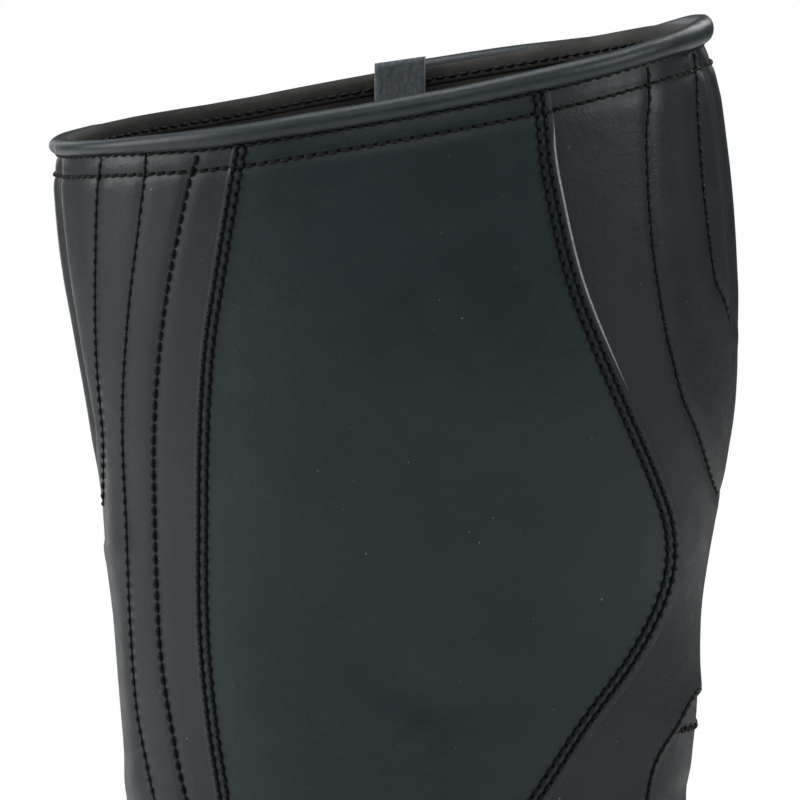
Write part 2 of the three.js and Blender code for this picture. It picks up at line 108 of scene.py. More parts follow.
WIDTHS = ("heel", "waist", "ball", "toe")
BORDERS = ("back", "back_rise", "front", "front_rise")
FOOT_COLUMNS = (*BORDERS, *WIDTHS, "blunt", "curve", "swing")
FOOT_SECTIONS = [
    (0.013, 0, 0.985, 0.073, 1.06, 0.62, 0.96, 0.84, 2.5, 1, 1),
    (0.005, 0.074, 0.998, 0.154, 1.12, 0.68, 1.02, 0.92, 2.5, 0.9, 1),
    (0, 0.17, 1, 0.243, 1.14, 0.72, 1.03, 0.94, 2.5, 0.7, 1),
    (0.003, 0.274, 0.978, 0.333, 1.12, 0.75, 0.99, 0.88, 2.45, 0.45, 0.95),
    (0.012, 0.393, 0.932, 0.406, 1.09, 0.77, 0.92, 0.76, 2.4, 0.25, 0.85),
    (0.02, 0.511, 0.863, 0.471, 1.06, 0.785, 0.85, 0.64, 2.3, 0.1, 0.7),
    (0.026, 0.63, 0.787, 0.536, 1.05, 0.795, 0.8, 0.56, 2.2, 0, 0.55),
    (0.03, 0.733, 0.714, 0.617, 1.05, 0.805, 0.775, 0.52, 2.15, 0, 0.4),
    (0.031, 0.83, 0.648, 0.723, 1.07, 0.815, 0.77, 0.54, 2.1, 0, 0.25),
    (0.031, 0.919, 0.582, 0.853, 1.1, 0.83, 0.79, 0.58, 2.1, 0, 0.12),
    (0.029, 1, 0.527, 1, 1.14, 0.85, 0.82, 0.64, 2.1, 0, 0.05),
]
SHAFT_COLUMNS = (*BORDERS, *WIDTHS)
SHAFT_SECTIONS = [
    (0.113, 0.063, 0.972, 0.081, 0.71, 0.75, 0.725, 0.6),
    (0.11, 0.131, 0.93, 0.166, 0.74, 0.775, 0.75, 0.66),
    (0.107, 0.205, 0.923, 0.251, 0.77, 0.8, 0.785, 0.71),
    (0.1, 0.295, 0.942, 0.34, 0.8, 0.83, 0.81, 0.76),
    (0.089, 0.415, 0.948, 0.451, 0.845, 0.87, 0.855, 0.81),
    (0.076, 0.528, 0.973, 0.549, 0.89, 0.915, 0.9, 0.855),
    (0.056, 0.648, 0.998, 0.651, 0.93, 0.955, 0.94, 0.9),
    (0.033, 0.767, 1.002, 0.745, 0.965, 0.99, 0.975, 0.93),
    (0.011, 0.875, 0.995, 0.838, 0.98, 1.01, 0.99, 0.95),
    (0.001, 0.955, 0.981, 0.928, 0.99, 1.015, 1, 0.955),
    (0, 1, 0.966, 1, 0.99, 1.015, 1, 0.955),
]
SHAFT_BLUNT = 2.1
HEEL_BLUNT = (2.6, 2.1)
MIDDLE_LINE = [0, -0.35, -0.05, 1]

# Borders of the panels in side view, as in the model: shares of CALF_DEPTH and COLLAR_BACK
FRONT_BORDER = [
    (0.728, 1.12), (0.737, 1.03), (0.751, 0.987), (0.778, 0.935), (0.819, 0.885), (0.897, 0.799),
    (0.924, 0.755), (0.917, 0.715), (0.872, 0.67), (0.79, 0.62), (0.721, 0.573), (0.573, 0.477),
    (0.427, 0.376), (0.368, 0.323), (0.342, 0.297),
]
BACK_BORDER = [
    (0.276, 1.12), (0.262, 1.03), (0.234, 0.945), (0.213, 0.875), (0.204, 0.77), (0.206, 0.7),
    (0.221, 0.627), (0.238, 0.572), (0.262, 0.48), (0.28, 0.38), (0.29, 0.325), (0.302, 0.297),
]
PANEL_TIP = (0.322, 0.287)
HEEL_SEAM_FOOT = (0.41, 0.05)
FLEX_BORDER = [
    (1.02, 0.645), (0.958, 0.638), (0.924, 0.616), (0.888, 0.59), (0.872, 0.549), (0.879, 0.514),
    (0.901, 0.477), (0.945, 0.439), (1.002, 0.408),
]
FLEX_FOOT = [(1.078, 0.387), (1.24, 0.372)]
VAMP_SEAM = [(0.955, 0.34), (0.93, 0.26), (0.94, 0.16), (0.98, 0.02)]

FLEX_LIFT = (-0.2, 1.3)  # how far the arch over the flex panel stands from the model's
HEEL_BACK = -HEEL_SETBACK

# The collar isn't quite level: how far the cord's lower and upper edge stand over the model's, from
# the back of the boot to its front, on the outer and the inner side
COLLAR_LIFT = {
    "along": [-1, -0.9, -0.79, -0.56, -0.41, -0.26, 0, 0.06, 0.11, 0.25, 0.47, 0.7, 0.86, 1],
    "low": [2.3, 2.3, 2.0, 1.0, 0.7, 0.8, 0.9, 0.92, 0.95, 1.0, 1.2, 1.7, 2.5, 2.6],
    "outer_top": [1.2, 1.1, 1.0, 0.8, 0.8, 1.0, 1.0, 1.05, 1.1, 1.2, 1.6, 1.8, 2.6, 3.9],
    "inner_top": [1.2, 0.7, -0.4, -1.5, -1.7, -1.5, -0.3, -0.1, 0.9, 0.9, 0.7, 0.3, 1.3, 3.9],
}
# How far the shaft leans forward from the model's at its back and at its front, by height
LEAN_HEIGHT = [150, 195, 212, 240, 256, 274, 294, 345, 361, 370, 378, 390]
LEAN_BACK = [0, 0.2, 0.5, 0.3, -0.5, 0.3, 0.7, 0.9, 0.9, 0.9, 0.9, 0.9]
LEAN_FRONT = [0, 0.7, 0.3, -0.2, -0.2, -0.2, -0.4, -0.4, -0.5, -1.4, -2.6, -2.9]
COLLAR_TUCK = 1.2  # how far the leather runs up inside the cord
CORD_OFFSET = 0.25  # of the cord's middle from the upper's face
CORD_WIDTH = 4.7
COLLAR_PRESS = 9  # and how far under it the layers start to be pressed together
TUCK = 2.5
FAR = 260


def mix(a, b, t):
    return a + (b - a) * t


def bell(distance, width):
    return np.exp(-((distance / width) ** 2))


def unit(v):
    return v / np.maximum(np.linalg.norm(v, axis=-1, keepdims=True), 1e-9)


def paired(a, b):
    return np.broadcast_arrays(np.asarray(a, float), np.asarray(b, float))


def run_of(points):
    """Distance along a curve up to each of its points."""
    return np.concatenate([[0], np.cumsum(np.linalg.norm(np.diff(points, axis=0), axis=1))])


def read_at(at, run, values):
    """Columns of values read at distances along their curve."""
    return np.stack([np.interp(at, run, values[:, k]) for k in range(values.shape[1])], -1)


def signed_turn(turn):
    """The turn brought back between -1 and 1."""
    return (turn + 1) % 2 - 1


def smooth(values, t):
    """Smooth curve through values at equal steps along their first axis, read at t."""
    values = np.asarray(values, float)
    last = len(values) - 1
    t = np.asarray(t, float)
    i = np.clip(np.floor(t).astype(int), 0, last - 1)
    f = t - i
    padded = np.concatenate([[2 * values[0] - values[1]], values, [2 * values[-1] - values[-2]]])
    if values.ndim == 1:
        a, b, c, d = (padded[i + k] for k in range(4))
    else:
        a, b, c, d = (np.take_along_axis(padded, (i + k)[None], 0)[0] for k in range(4))
    slope0, slope1 = (c - a) / 2, (d - b) / 2
    f2, f3 = f * f, f * f * f
    ends = (2 * f3 - 3 * f2 + 1) * b + (f3 - 2 * f2 + f) * slope0
    return ends + (3 * f2 - 2 * f3) * c + (f3 - f2) * slope1


def feather_height(x):
    """Height of the upper's lower edge over the floor."""
    share = (x - HEEL_BACK) / LAST_LENGTH
    drop = np.clip((share - SHANK[0]) / (SHANK[1] - SHANK[0]), 0, 1)
    rise = np.maximum(0, (share - SPRING[0]) / (SPRING[1] - SPRING[0]))
    return mix(SEAT_LEVEL, BALL_LEVEL, drop * drop * (3 - 2 * drop)) + TOE_SPRING * rise**1.6


def section_table():
    """Every section's columns in millimetres, foot and shaft rows together."""
    rows = []
    for k, values in enumerate(FOOT_SECTIONS):
        r = dict(zip(FOOT_COLUMNS, values))
        back_x, front_x = (HEEL_BACK + r[end] * LAST_LENGTH for end in ("back", "front"))
        rows.append({
            "back_x": back_x,
            "front_x": front_x,
            "back_z": SEAT_LEVEL + r["back_rise"] * ANKLE_HEIGHT if k else feather_height(back_x),
            "front_z": BALL_LEVEL + r["front_rise"] * INSTEP_HEIGHT if k else feather_height(front_x),
            "heel": r["heel"] * HEEL_WIDTH / 2,
            "waist": r["waist"] * BALL_WIDTH / 2,
            "ball": r["ball"] * BALL_WIDTH / 2,
            "toe": r["toe"] * BALL_WIDTH / 2,
            "blunt": r["blunt"],
            "heel_blunt": mix(*HEEL_BLUNT, k / (len(FOOT_SECTIONS) - 1)),
            "curve": r["curve"],
            "swing": r["swing"],
        })
    fold = rows[-1]
    for values in SHAFT_SECTIONS:
        r = dict(zip(SHAFT_COLUMNS, values))
        row = {name: r[name] * CALF_WIDTH / 2 for name in WIDTHS}
        row["back_x"] = SHAFT_BACK + r["back"] * CALF_DEPTH
        row["front_x"] = SHAFT_BACK + r["front"] * CALF_DEPTH
        row["back_z"] = mix(fold["back_z"], COLLAR_BACK, r["back_rise"])
        row["front_z"] = mix(fold["front_z"], COLLAR_FRONT, r["front_rise"])
        row.update(blunt=SHAFT_BLUNT, heel_blunt=HEEL_BLUNT[1], curve=0, swing=0)
        rows.append(row)
    return {column: np.array([row[column] for row in rows], float) for column in rows[0]}


SECTIONS = section_table()
TOP = len(SECTIONS["toe"]) - 1


def section_at(level):
    return {column: smooth(values, level) for column, values in SECTIONS.items()}


def half_width(sec, s):
    width = smooth(np.stack([sec[name] + 0 * s for name in WIDTHS]), 3 * s)
    blunt = np.where(s < 0.5, sec["heel_blunt"] + 0 * s, sec["blunt"] + 0 * s)
    return width * np.maximum(0, 1 - np.abs(2 * s - 1) ** blunt) ** (1 / blunt)


def place(turn, level):
    """Points of the upper's outer face; a level over TOP is the strip that runs into the cord."""
    turn, level = paired(turn, level)
    above = np.clip(level - TOP, 0, 1) * (collar_lift(turn, "low") + COLLAR_TUCK)
    sec = section_at(np.minimum(level, TOP))
    wrapped = signed_turn(turn)
    s = (1 + np.cos(np.pi * np.abs(wrapped))) / 2
    x = mix(sec["back_x"], sec["front_x"], s)
    sole = mix(feather_height(sec["back_x"]), feather_height(sec["front_x"]), s)
    z = mix(sec["back_z"], sec["front_z"], s) + sec["curve"] * (feather_height(x) - sole) + above
    x = x + mix(np.interp(z, LEAN_HEIGHT, LEAN_BACK), np.interp(z, LEAN_HEIGHT, LEAN_FRONT), s)
    middle = TOE_SWING * sec["swing"] * smooth(MIDDLE_LINE, 3 * s)
    return np.stack([x, middle - np.sign(wrapped) * half_width(sec, s), z], -1)


def collar_lift(turn, edge):
    """Height of the cord's lower or upper edge over the model's, by turn."""
    along = np.cos(np.pi * turn)
    low, outer, inner = (
        np.interp(along, COLLAR_LIFT["along"], COLLAR_LIFT[name])
        for name in ("low", "outer_top", "inner_top")
    )
    return low if edge == "low" else np.where(signed_turn(turn) >= 0, outer, inner)


def facing(turn, level, step=0.006, rise=0.05):
    """Directions out of the upper's face, level at its two open edges."""
    turn, level = paired(turn, level)
    level = np.minimum(level, TOP)
    round_ = place(turn + step, level) - place(turn - step, level)
    up = place(turn, np.minimum(level + rise, TOP)) - place(turn, np.maximum(level - rise, 0))
    normal = np.cross(up, round_)
    ends = bell(level, 0.25) + bell(level - TOP, 0.25)
    normal[..., 2] *= 1 - np.clip(ends, 0, 1)
    return unit(normal)


def face(turn, level, over):
    """Points at a distance over the upper's own face, without the leather's relief."""
    return place(turn, level) + facing(turn, level) * over


HALVINGS = 20
SHIFT_ROUNDS = 4


def find(x, height, over, seen=False):
    """(turn, level) on the outer side where a face over the upper's has a side view's x and height.

    The height is the true one, or with seen the one that the photo's view shows.
    """
    x, height = paired(x, height)
    shift, rise = np.zeros_like(x), np.zeros_like(x)
    for _ in range(SHIFT_ROUNDS):
        low, high = np.zeros_like(x), np.full_like(x, TOP + 1)
        for _ in range(HALVINGS):
            level = (low + high) / 2
            sec = section_at(np.minimum(level, TOP))
            s = np.clip((x - shift - sec["back_x"]) / (sec["front_x"] - sec["back_x"]), 0, 1)
            turn = np.arccos(2 * s - 1) / np.pi
            p = place(turn, level)
            z = p[..., 2]
            if seen:
                z = z * math.cos(VIEW_RISE) + p[..., 1] * math.sin(VIEW_RISE)
            below = z + rise < height
            low, high = np.where(below, level, low), np.where(below, high, level)
        out = facing(turn, level) * over
        shift = shift + p[..., 0] + out[..., 0] - x
        rise = out[..., 2]
        if seen:
            rise = rise * math.cos(VIEW_RISE) + out[..., 1] * math.sin(VIEW_RISE)
    return turn, level


def spline(points, spacing=1.0):
    """Smooth plane curve through points, with its samples at equal steps."""
    points = np.asarray(points, float)
    t = np.linspace(0, len(points) - 1, 60 * len(points))
    curve = np.stack([smooth(points[:, k], t) for k in range(points.shape[1])], -1)
    return even(curve, spacing)


def even(curve, spacing):
    run = run_of(curve)
    steps = max(2, int(round(run[-1] / spacing)))
    return read_at(np.linspace(0, run[-1], steps + 1), run, curve)


def side_points(rows):
    return [(SHAFT_BACK + along * CALF_DEPTH, up * COLLAR_BACK) for along, up in rows]


front_edge = spline(side_points([*FRONT_BORDER, PANEL_TIP]))
back_edge = spline(side_points([*BACK_BORDER, PANEL_TIP]))
flex_edge = spline(side_points(FLEX_BORDER)) + np.array(FLEX_LIFT)
flex_foot = np.array(side_points(FLEX_FOOT))
vamp_seam = spline(side_points([FLEX_BORDER[-1], *VAMP_SEAM]))
seam_foot = side_points([HEEL_SEAM_FOOT])[0]
tip = side_points([PANEL_TIP])[0]


def shifted(curve, distance):
    """A side-view curve moved sideways, to its right for a positive distance."""
    along = np.gradient(curve, axis=0)
    along /= np.linalg.norm(along, axis=1, keepdims=True)
    return curve + np.stack([along[:, 1], -along[:, 0]], -1) * distance


AREAS = {
    "side": np.concatenate([front_edge, back_edge[:-1][::-1]]),
    "shin": np.concatenate([
        shifted(front_edge, TUCK),
        [(seam_foot[0] + GAP, seam_foot[1]), (seam_foot[0] + GAP, -FAR), (vamp_seam[-1][0], -FAR)],
        vamp_seam[::-1],
        flex_edge[:-1][::-1],
        [(FAR, flex_edge[0][1]), (FAR, front_edge[0][1])],
    ]),
    "back": np.concatenate([
        shifted(back_edge, -TUCK),
        [(seam_foot[0] - GAP, seam_foot[1]), (seam_foot[0] - GAP, -FAR)],
        [(-FAR, -FAR), (-FAR, back_edge[0][1])],
    ]),
    "flex": np.concatenate([
        shifted(flex_edge, TUCK),
        flex_foot,
        [(FAR, flex_foot[-1][1]), (FAR, flex_edge[0][1] - GAP)],
    ]),
    "vamp": np.concatenate([
        vamp_seam[::-1],
        flex_foot,
        [(FAR, flex_foot[-1][1]), (FAR, -FAR), (vamp_seam[-1][0], -FAR)],
    ]),
}


def segment_distance(p, start, end):
    """Distance of points to the straight line between two points."""
    edge = end - start
    t = np.clip((p - start) @ edge / max(edge @ edge, 1e-9), 0, 1)
    return np.linalg.norm(p - start - t[:, None] * edge, axis=1)


def signed_distance(x, z, area):
    """Distance to a side-view outline, negative inside."""
    p = np.stack([x.ravel(), z.ravel()], -1)
    best = np.full(len(p), 1e9)
    inside = np.zeros(len(p), bool)
    for start, end in zip(area, np.roll(area, -1, axis=0)):
        edge = end - start
        if edge @ edge < 1e-12:
            continue
        best = np.minimum(best, segment_distance(p, start, end))
        crosses = (start[1] > p[:, 1]) != (end[1] > p[:, 1])
        if edge[1] != 0:
            at = start[0] + (p[:, 1] - start[1]) / edge[1] * edge[0]
            inside ^= crosses & (p[:, 0] < at)
    return np.where(inside, -best, best).reshape(x.shape)


# Seams as the photo's view shows them: along the boot, and the height seen from its slight rise
BACK_SEAMS = {
    "outer": [
        (-40.4, 347), (-41.1, 341), (-41.6, 328.7), (-41.3, 307.9), (-40.6, 292.8), (-39.7, 281),
        (-39.9, 270.9), (-39.9, 263.6), (-39.7, 254.9),
    ],
    "middle": [
        (-30.1, 348), (-30.3, 340.7), (-31.2, 332.9), (-33.3, 314), (-34.1, 303.1), (-34.9, 288.8),
        (-35.1, 270.9), (-34.1, 243.9), (-32.1, 219.9), (-30.5, 209.1), (-27.5, 194.8), (-22, 176),
        (-16, 160),
    ],
    "inner": [
        (-17.6, 347), (-19.3, 342.1), (-21.4, 333), (-24.7, 315.1), (-26.8, 297), (-28, 278),
        (-28.2, 264.8), (-28, 252.8), (-26.5, 231.2), (-23.7, 212.6), (-20.4, 195), (-14, 174),
        (-6, 155),
    ],
}
FRONT_SEAMS = {
    "upper_v": [
        (99.2, 371), (99.4, 364.9), (99.7, 355.7), (101.3, 336), (103.6, 318.1), (105.8, 312.7),
        (107.8, 305.7),
    ],
    "lower_v": [
        (88.4, 367), (88.4, 358.8), (87.7, 349.9), (88.8, 327), (91.7, 307.8), (93.8, 298.8),
        (96.4, 288.8), (99.5, 281.5), (102.9, 270.2), (104.2, 266.7),
    ],
}
STITCH_PITCH = 2.9
STITCH_LENGTH = 2.6
STITCH_THICK = 0.84
FIRST_ROW = 0.35
SECOND_ROW = 5.1
PANEL_ROWS = {"front": (2.3, 4.1), "back": (1.4, 3.2)}
CENTRE_SEAM_DEPTH = 1.9
CENTRE_SEAM_WIDTH = 2.4
# How far the front and back seams stand off the middle plane, towards the outer side, by height
FRONT_SEAM_SHIFT = ([250, 268, 289, 307, 326, 376], [0, 2, 6, 10, 12, 13])
BACK_SEAM_SHIFT = ([262, 273, 284, 300, 326, 350], [0, 2, 9, 10, 11, 10.5])

SHIN_HEIGHT = GAP + PANEL
SIDE_HEIGHT = GAP + SIDE_PANEL
FLEX_HEIGHT = SHIN_HEIGHT - 0.5
BEVEL = 0.45

# Soft folds: points in side view, depth and width, and the sides that have them
FOLDS = [
    ([(98, 196), (86, 188), (70, 181), (52, 178)], 1.0, 4.5, (1, -1)),
    ([(104, 182), (92, 171), (76, 163), (58, 160), (40, 162)], 1.5, 5.0, (1, -1)),
    ([(113, 168), (101, 156), (84, 146), (66, 142)], 1.3, 5.0, (1,)),
    ([(113, 166), (99, 153), (82, 145), (62, 143), (44, 147)], 1.2, 5.0, (-1,)),
    ([(-35, 192), (-24, 183), (-8, 176), (10, 174)], 1.1, 5.0, (1,)),
    ([(-34, 186), (-22, 179), (-4, 175), (14, 176)], 1.0, 5.0, (-1,)),
    ([(-33, 170), (-20, 160), (-4, 154), (14, 154)], 0.9, 4.5, (1, -1)),
    ([(24, 214), (30, 217), (36, 222)], 0.16, 2.2, (1,)),
    ([(28, 210), (34, 213), (40, 219), (43, 225)], 0.14, 2.4, (1,)),
    ([(22, 235), (34, 226), (52, 224)], 0.5, 6.0, (1, -1)),
]
VAMP_FOLDS = [
    ([(150, 84), (146, 66), (142, 48), (139, 30)], 0.5, 4.6, (1, -1)),
    ([(163, 76), (160, 60), (156, 46), (153, 32)], 0.32, 5.2, (1, -1)),
    ([(175, 70), (172, 56), (169, 44)], 0.2, 4.6, (1,)),
]


def level_at(turn, height):
    """Level of the upper's face at a turn and a true height."""
    turn, height = paired(turn, height)
    low, high = np.zeros_like(turn), np.full_like(turn, TOP + 1)
    for _ in range(HALVINGS):
        level = (low + high) / 2
        z = place(turn, level)[..., 2]
        low, high = np.where(z < height, level, low), np.where(z < height, high, level)
    return level


def seen_line(points, over=SHIN_HEIGHT):
    """Curve on the outer side through places of the photo's view, as (turn, level)."""
    curve = spline(points, 1.5)
    depth = np.zeros(len(curve))
    for _ in range(3):
        grow = (CAMERA_DISTANCE + depth) / CAMERA_DISTANCE
        x = VIEW_X + (curve[:, 0] - VIEW_X) * grow
        height = VIEW_SEEN + (curve[:, 1] - VIEW_SEEN) * grow
        turn, level = find(x, height, over, seen=True)
        p = face(turn, level, over)
        depth = p[:, 1] * math.cos(VIEW_RISE) - (p[:, 2] - VIEW_Z) * math.sin(VIEW_RISE)
    return np.stack([turn, level], -1)


def side_line(curve, over=SHIN_HEIGHT):
    """Curve given by true side-view points, as (turn, level) on the outer side."""
    return np.stack(find(curve[:, 0], curve[:, 1], over), -1)


def side_view(line):
    return face(line[:, 0], line[:, 1], SHIN_HEIGHT)[:, [0, 2]]


def near_curve(x, z, curve, reach):
    """Distance in side view to a curve, no more than reach."""
    distance = np.full(x.shape, float(reach))
    low, high = curve.min(axis=0) - reach, curve.max(axis=0) + reach
    close = (x > low[0]) & (x < high[0]) & (z > low[1]) & (z < high[1])
    p = np.stack([x[close], z[close]], -1)
    best = np.full(len(p), float(reach))
    for start, end in zip(curve[:-1], curve[1:]):
        best = np.minimum(best, segment_distance(p, start, end))
    distance[close] = best
    return distance


back_lines = {name: seen_line(points) for name, points in BACK_SEAMS.items()}
front_lines = {name: seen_line(points) for name, points in FRONT_SEAMS.items()}
seam_views = {name: side_view(line)[::2] for name, line in {**back_lines, **front_lines}.items()}
fold_views = [(spline(points, 2.5), *rest) for points, *rest in FOLDS + VAMP_FOLDS]

waves = np.random.default_rng(4)
WAVE_WAYS = unit(waves.normal(size=(14, 3)))
WAVE_LENGTHS = waves.uniform(28, 90, 14)
WAVE_STARTS = waves.uniform(0, 2 * np.pi, 14)


def unevenness(p):
    """Slow rise and fall of soft leather, about one millimetre from crest to trough."""
    total = np.zeros(p.shape[:-1])
    for way, length, start in zip(WAVE_WAYS, WAVE_LENGTHS, WAVE_STARTS):
        total += np.sin(p @ way * (2 * np.pi / length) + start) * length / 90
    return total * 0.11


def centre_shift(x, z):
    front = np.interp(z, *FRONT_SEAM_SHIFT)
    back = np.interp(z, *BACK_SEAM_SHIFT)
    return np.where(x > 20, front, back)


def collar_edge(turn):
    """Height of the cord's lower edge."""
    return place(turn, TOP)[..., 2] + collar_lift(turn, "low")


def relief(turn, level):
    """How far the leather's outer face rises or sinks at a place."""
    turn, level = paired(turn, level)
    p = face(turn, level, SHIN_HEIGHT)
    x, y, z = p[..., 0], p[..., 1], p[..., 2]
    side = np.where(signed_turn(turn) >= 0, 1, -1)
    top = collar_edge(turn)
    fade = np.clip((top - z) / 8, 0, 1)
    rise = unevenness(p) * np.clip((top - z) / 30, 0, 1)
    for name, curve in seam_views.items():
        d = near_curve(x, z, curve, 12)
        heavy = 1.3 if name == "inner" else 1.0
        rise += fade * (0.16 * bell(d - 3, 2) - heavy * 0.34 * bell(d, 0.9))
    for curve, depth, width, sides in fold_views:
        hit = np.isin(side, sides)
        d = near_curve(x, z, curve, 3 * width)
        ends = 1 - bell(np.hypot(x - curve[0][0], z - curve[0][1]), 2 * width) * 0.6
        ends *= 1 - bell(np.hypot(x - curve[-1][0], z - curve[-1][1]), 2 * width) * 0.9
        rise += hit * ends * depth * (0.45 * bell(d - 1.5 * width, width) - bell(d, width))
    d = y + centre_shift(x, z)
    low = np.clip((z - 150) / 40, 0, 1)
    high = np.clip((top - z) / 5, 0, 1)
    at_centre = (x > 60) | (x < -5)
    seam = 0.2 * bell(np.abs(d) - 5, 3.2) - CENTRE_SEAM_DEPTH * bell(d, CENTRE_SEAM_WIDTH)
    rise += at_centre * low * high * seam
    rows = top - z
    sunk = 0.2 * bell(rows - FIRST_ROW, 0.7) + 0.25 * bell(rows - SECOND_ROW, 0.8)
    rise += 0.12 * bell(rows - 2.7, 1.3) - sunk
    return rise


def surface(turn, level, height):
    """Points of a layer at a height over the upper's own face, and their outward directions.

    The leather's relief is added. The layers are pressed together where they run into the cord.
    """
    out = facing(turn, level)
    p = place(turn, level)
    under = np.clip(1 - (collar_edge(turn) - p[..., 2]) / COLLAR_PRESS, 0, 1)
    over = np.maximum(level - TOP, 0)
    pressed = height * (1 - 0.6 * under * under * (3 - 2 * under)) - 0.3 * over
    height = np.where(height > 0, pressed, height)
    return p + out * (height + relief(turn, level))[..., None], out


def new_mesh(name, points, polygons, slots=(), material=None, closed=False):
    mesh = bpy.data.meshes.new(name)
    mesh.from_pydata((np.asarray(points) / 1000).tolist(), [], polygons)
    for slot in slots:
        mesh.materials.append(slot)
    if material is not None:
        mesh.polygons.foreach_set("material_index", np.asarray(material, dtype=np.int32))
    mesh.polygons.foreach_set("use_smooth", np.ones(len(mesh.polygons), dtype=bool))
    mesh.validate()
    if closed:
        shell = bmesh.new()
        shell.from_mesh(mesh)
        bmesh.ops.recalc_face_normals(shell, faces=shell.faces)
        shell.to_mesh(mesh)
        shell.free()
    mesh.update()
    piece = bpy.data.objects.new(name, mesh)
    bpy.context.scene.collection.objects.link(piece)
    return piece


def finish_piece(piece, slot, *nodes):
    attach(piece, "root")
    if nodes:
        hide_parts(*nodes)


def cut_grid(turns, levels, area, over, inset):
    """Grid of a layer's face trimmed to a side-view area, as places, polygons and border marks."""
    t, l = np.meshgrid(turns, levels)
    p = face(t, l, over)
    d = signed_distance(p[..., 0], p[..., 2], area) + inset(p[..., 0], p[..., 2])
    rows, columns = t.shape
    nearest = np.full(t.shape, 0.3)
    new_t, new_l = t.copy(), l.copy()
    for dr, dc in ((0, 1), (0, -1), (1, 0), (-1, 0)):
        here = (slice(max(0, -dr), rows - max(0, dr)), slice(max(0, -dc), columns - max(0, dc)))
        there = (slice(max(0, dr), rows - max(0, -dr)), slice(max(0, dc), columns - max(0, -dc)))
        crosses = d[here] * d[there] < 0
        share = np.where(crosses, d[here] / np.where(crosses, d[here] - d[there], 1), 1)
        better = crosses & (share < nearest[here])
        nearest[here] = np.where(better, share, nearest[here])
        new_t[here] = np.where(better, mix(t[here], t[there], share), new_t[here])
        new_l[here] = np.where(better, mix(l[here], l[there], share), new_l[here])
    d = np.where(nearest < 0.3, 0, d)
    t, l = new_t, new_l
    number = np.arange(rows * columns).reshape(t.shape)
    corners = [number[:-1, :-1], number[1:, :-1], number[1:, 1:], number[:-1, 1:]]
    corners = np.stack(corners, -1).reshape(-1, 4)
    places = [np.stack([t.ravel(), l.ravel()], -1)]
    flat_d = d.ravel()
    values = flat_d[corners]
    whole = (values <= 0).all(axis=1) & (values < 0).any(axis=1)
    polygons = corners[whole].tolist()
    crossing = {}
    extra = []
    for quad in corners[~whole & (values < 0).any(axis=1)].tolist():
        polygon = []
        for a, b in zip(quad, quad[1:] + quad[:1]):
            if flat_d[a] <= 0:
                polygon.append(a)
            if flat_d[a] * flat_d[b] < 0:
                key = (min(a, b), max(a, b))
                if key not in crossing:
                    share = flat_d[a] / (flat_d[a] - flat_d[b])
                    crossing[key] = rows * columns + len(extra)
                    extra.append(mix(places[0][a], places[0][b], share))
                polygon.append(crossing[key])
        if len(polygon) > 2:
            polygons.append(polygon)
    if extra:
        places.append(np.array(extra))
    places = np.concatenate(places)
    on_cut = np.concatenate([flat_d == 0, np.ones(len(extra), bool)])
    used = np.unique(np.concatenate([np.array(q) for q in polygons]))
    renumber = np.full(len(places), -1)
    renumber[used] = np.arange(len(used))
    polygons = [[int(renumber[v]) for v in q] for q in polygons]
    return places[used], polygons, on_cut[used]


def border_edges(polygons):
    """Directed edges that only one polygon has."""
    seen = {edge for q in polygons for edge in zip(q, q[1:] + q[:1])}
    return [(a, b) for a, b in seen if (b, a) not in seen]


EDGE_PROFILE = [(0.3, 0.04), (0.45, 0.16), (1, 0.9)]


def layer(name, turns, levels, area, height, slots, over=SHIN_HEIGHT, reach=None, bevel=None, margin=0):
    """One leather panel with a skived cut edge that goes down to what it is sewn on."""
    bevel = bevel or (lambda x, z: np.full(x.shape, BEVEL))
    places, polygons, on_cut = cut_grid(turns, levels, area, over, lambda x, z: bevel(x, z) - margin)
    turn, level = places[:, 0], places[:, 1]
    lift = height(turn, level) if callable(height) else np.full(len(turn), float(height))
    points, out = surface(turn, level, lift)
    edges = border_edges(polygons)
    rim = sorted({v for edge in edges for v in edge})
    order = {v: k for k, v in enumerate(rim)}
    rim = np.array(rim)
    p = face(turn[rim], level[rim], over)
    step = 0.05
    x, z = p[:, 0], p[:, 2]
    width = bevel(x, z)
    slope = np.stack([
        signed_distance(x + step, z, area) - signed_distance(x - step, z, area),
        0 * x,
        signed_distance(x, z + step, area) - signed_distance(x, z - step, area),
    ], -1)
    normal = out[rim]
    across = unit(slope - (slope * normal).sum(-1, keepdims=True) * normal) * on_cut[rim][:, None]
    depth = lift[rim] + 0.3 if reach is None else np.full(len(rim), float(reach))
    thick = np.minimum(depth, SIDE_PANEL / 2)
    sets = [points]
    for a, b in EDGE_PROFILE:
        sets.append(points[rim] + across * (width * a)[:, None] - normal * (thick * b)[:, None])
    sets.append(points[rim] + across * width[:, None] - normal * np.maximum(depth, thick)[:, None])
    material = [0] * len(polygons)
    base = len(points)
    count = len(rim)
    for a, b in edges:
        ring_a = [a] + [base + k * count + order[a] for k in range(len(sets) - 1)]
        ring_b = [b] + [base + k * count + order[b] for k in range(len(sets) - 1)]
        for k in range(len(sets) - 1):
            polygons.append([ring_b[k], ring_a[k], ring_a[k + 1], ring_b[k + 1]])
            material.append(1 if k >= 2 and len(slots) > 1 else 0)
    return new_mesh(name, np.concatenate(sets), polygons, slots, material)


# Materials
def colour(red, green, blue):
    """sRGB of 0 to 255 as a linear colour."""
    parts = (red / 255, green / 255, blue / 255)
    return (*(((c + 0.055) / 1.055) ** 2.4 if c > 10 / 255 else c / 12.92 for c in parts), 1)


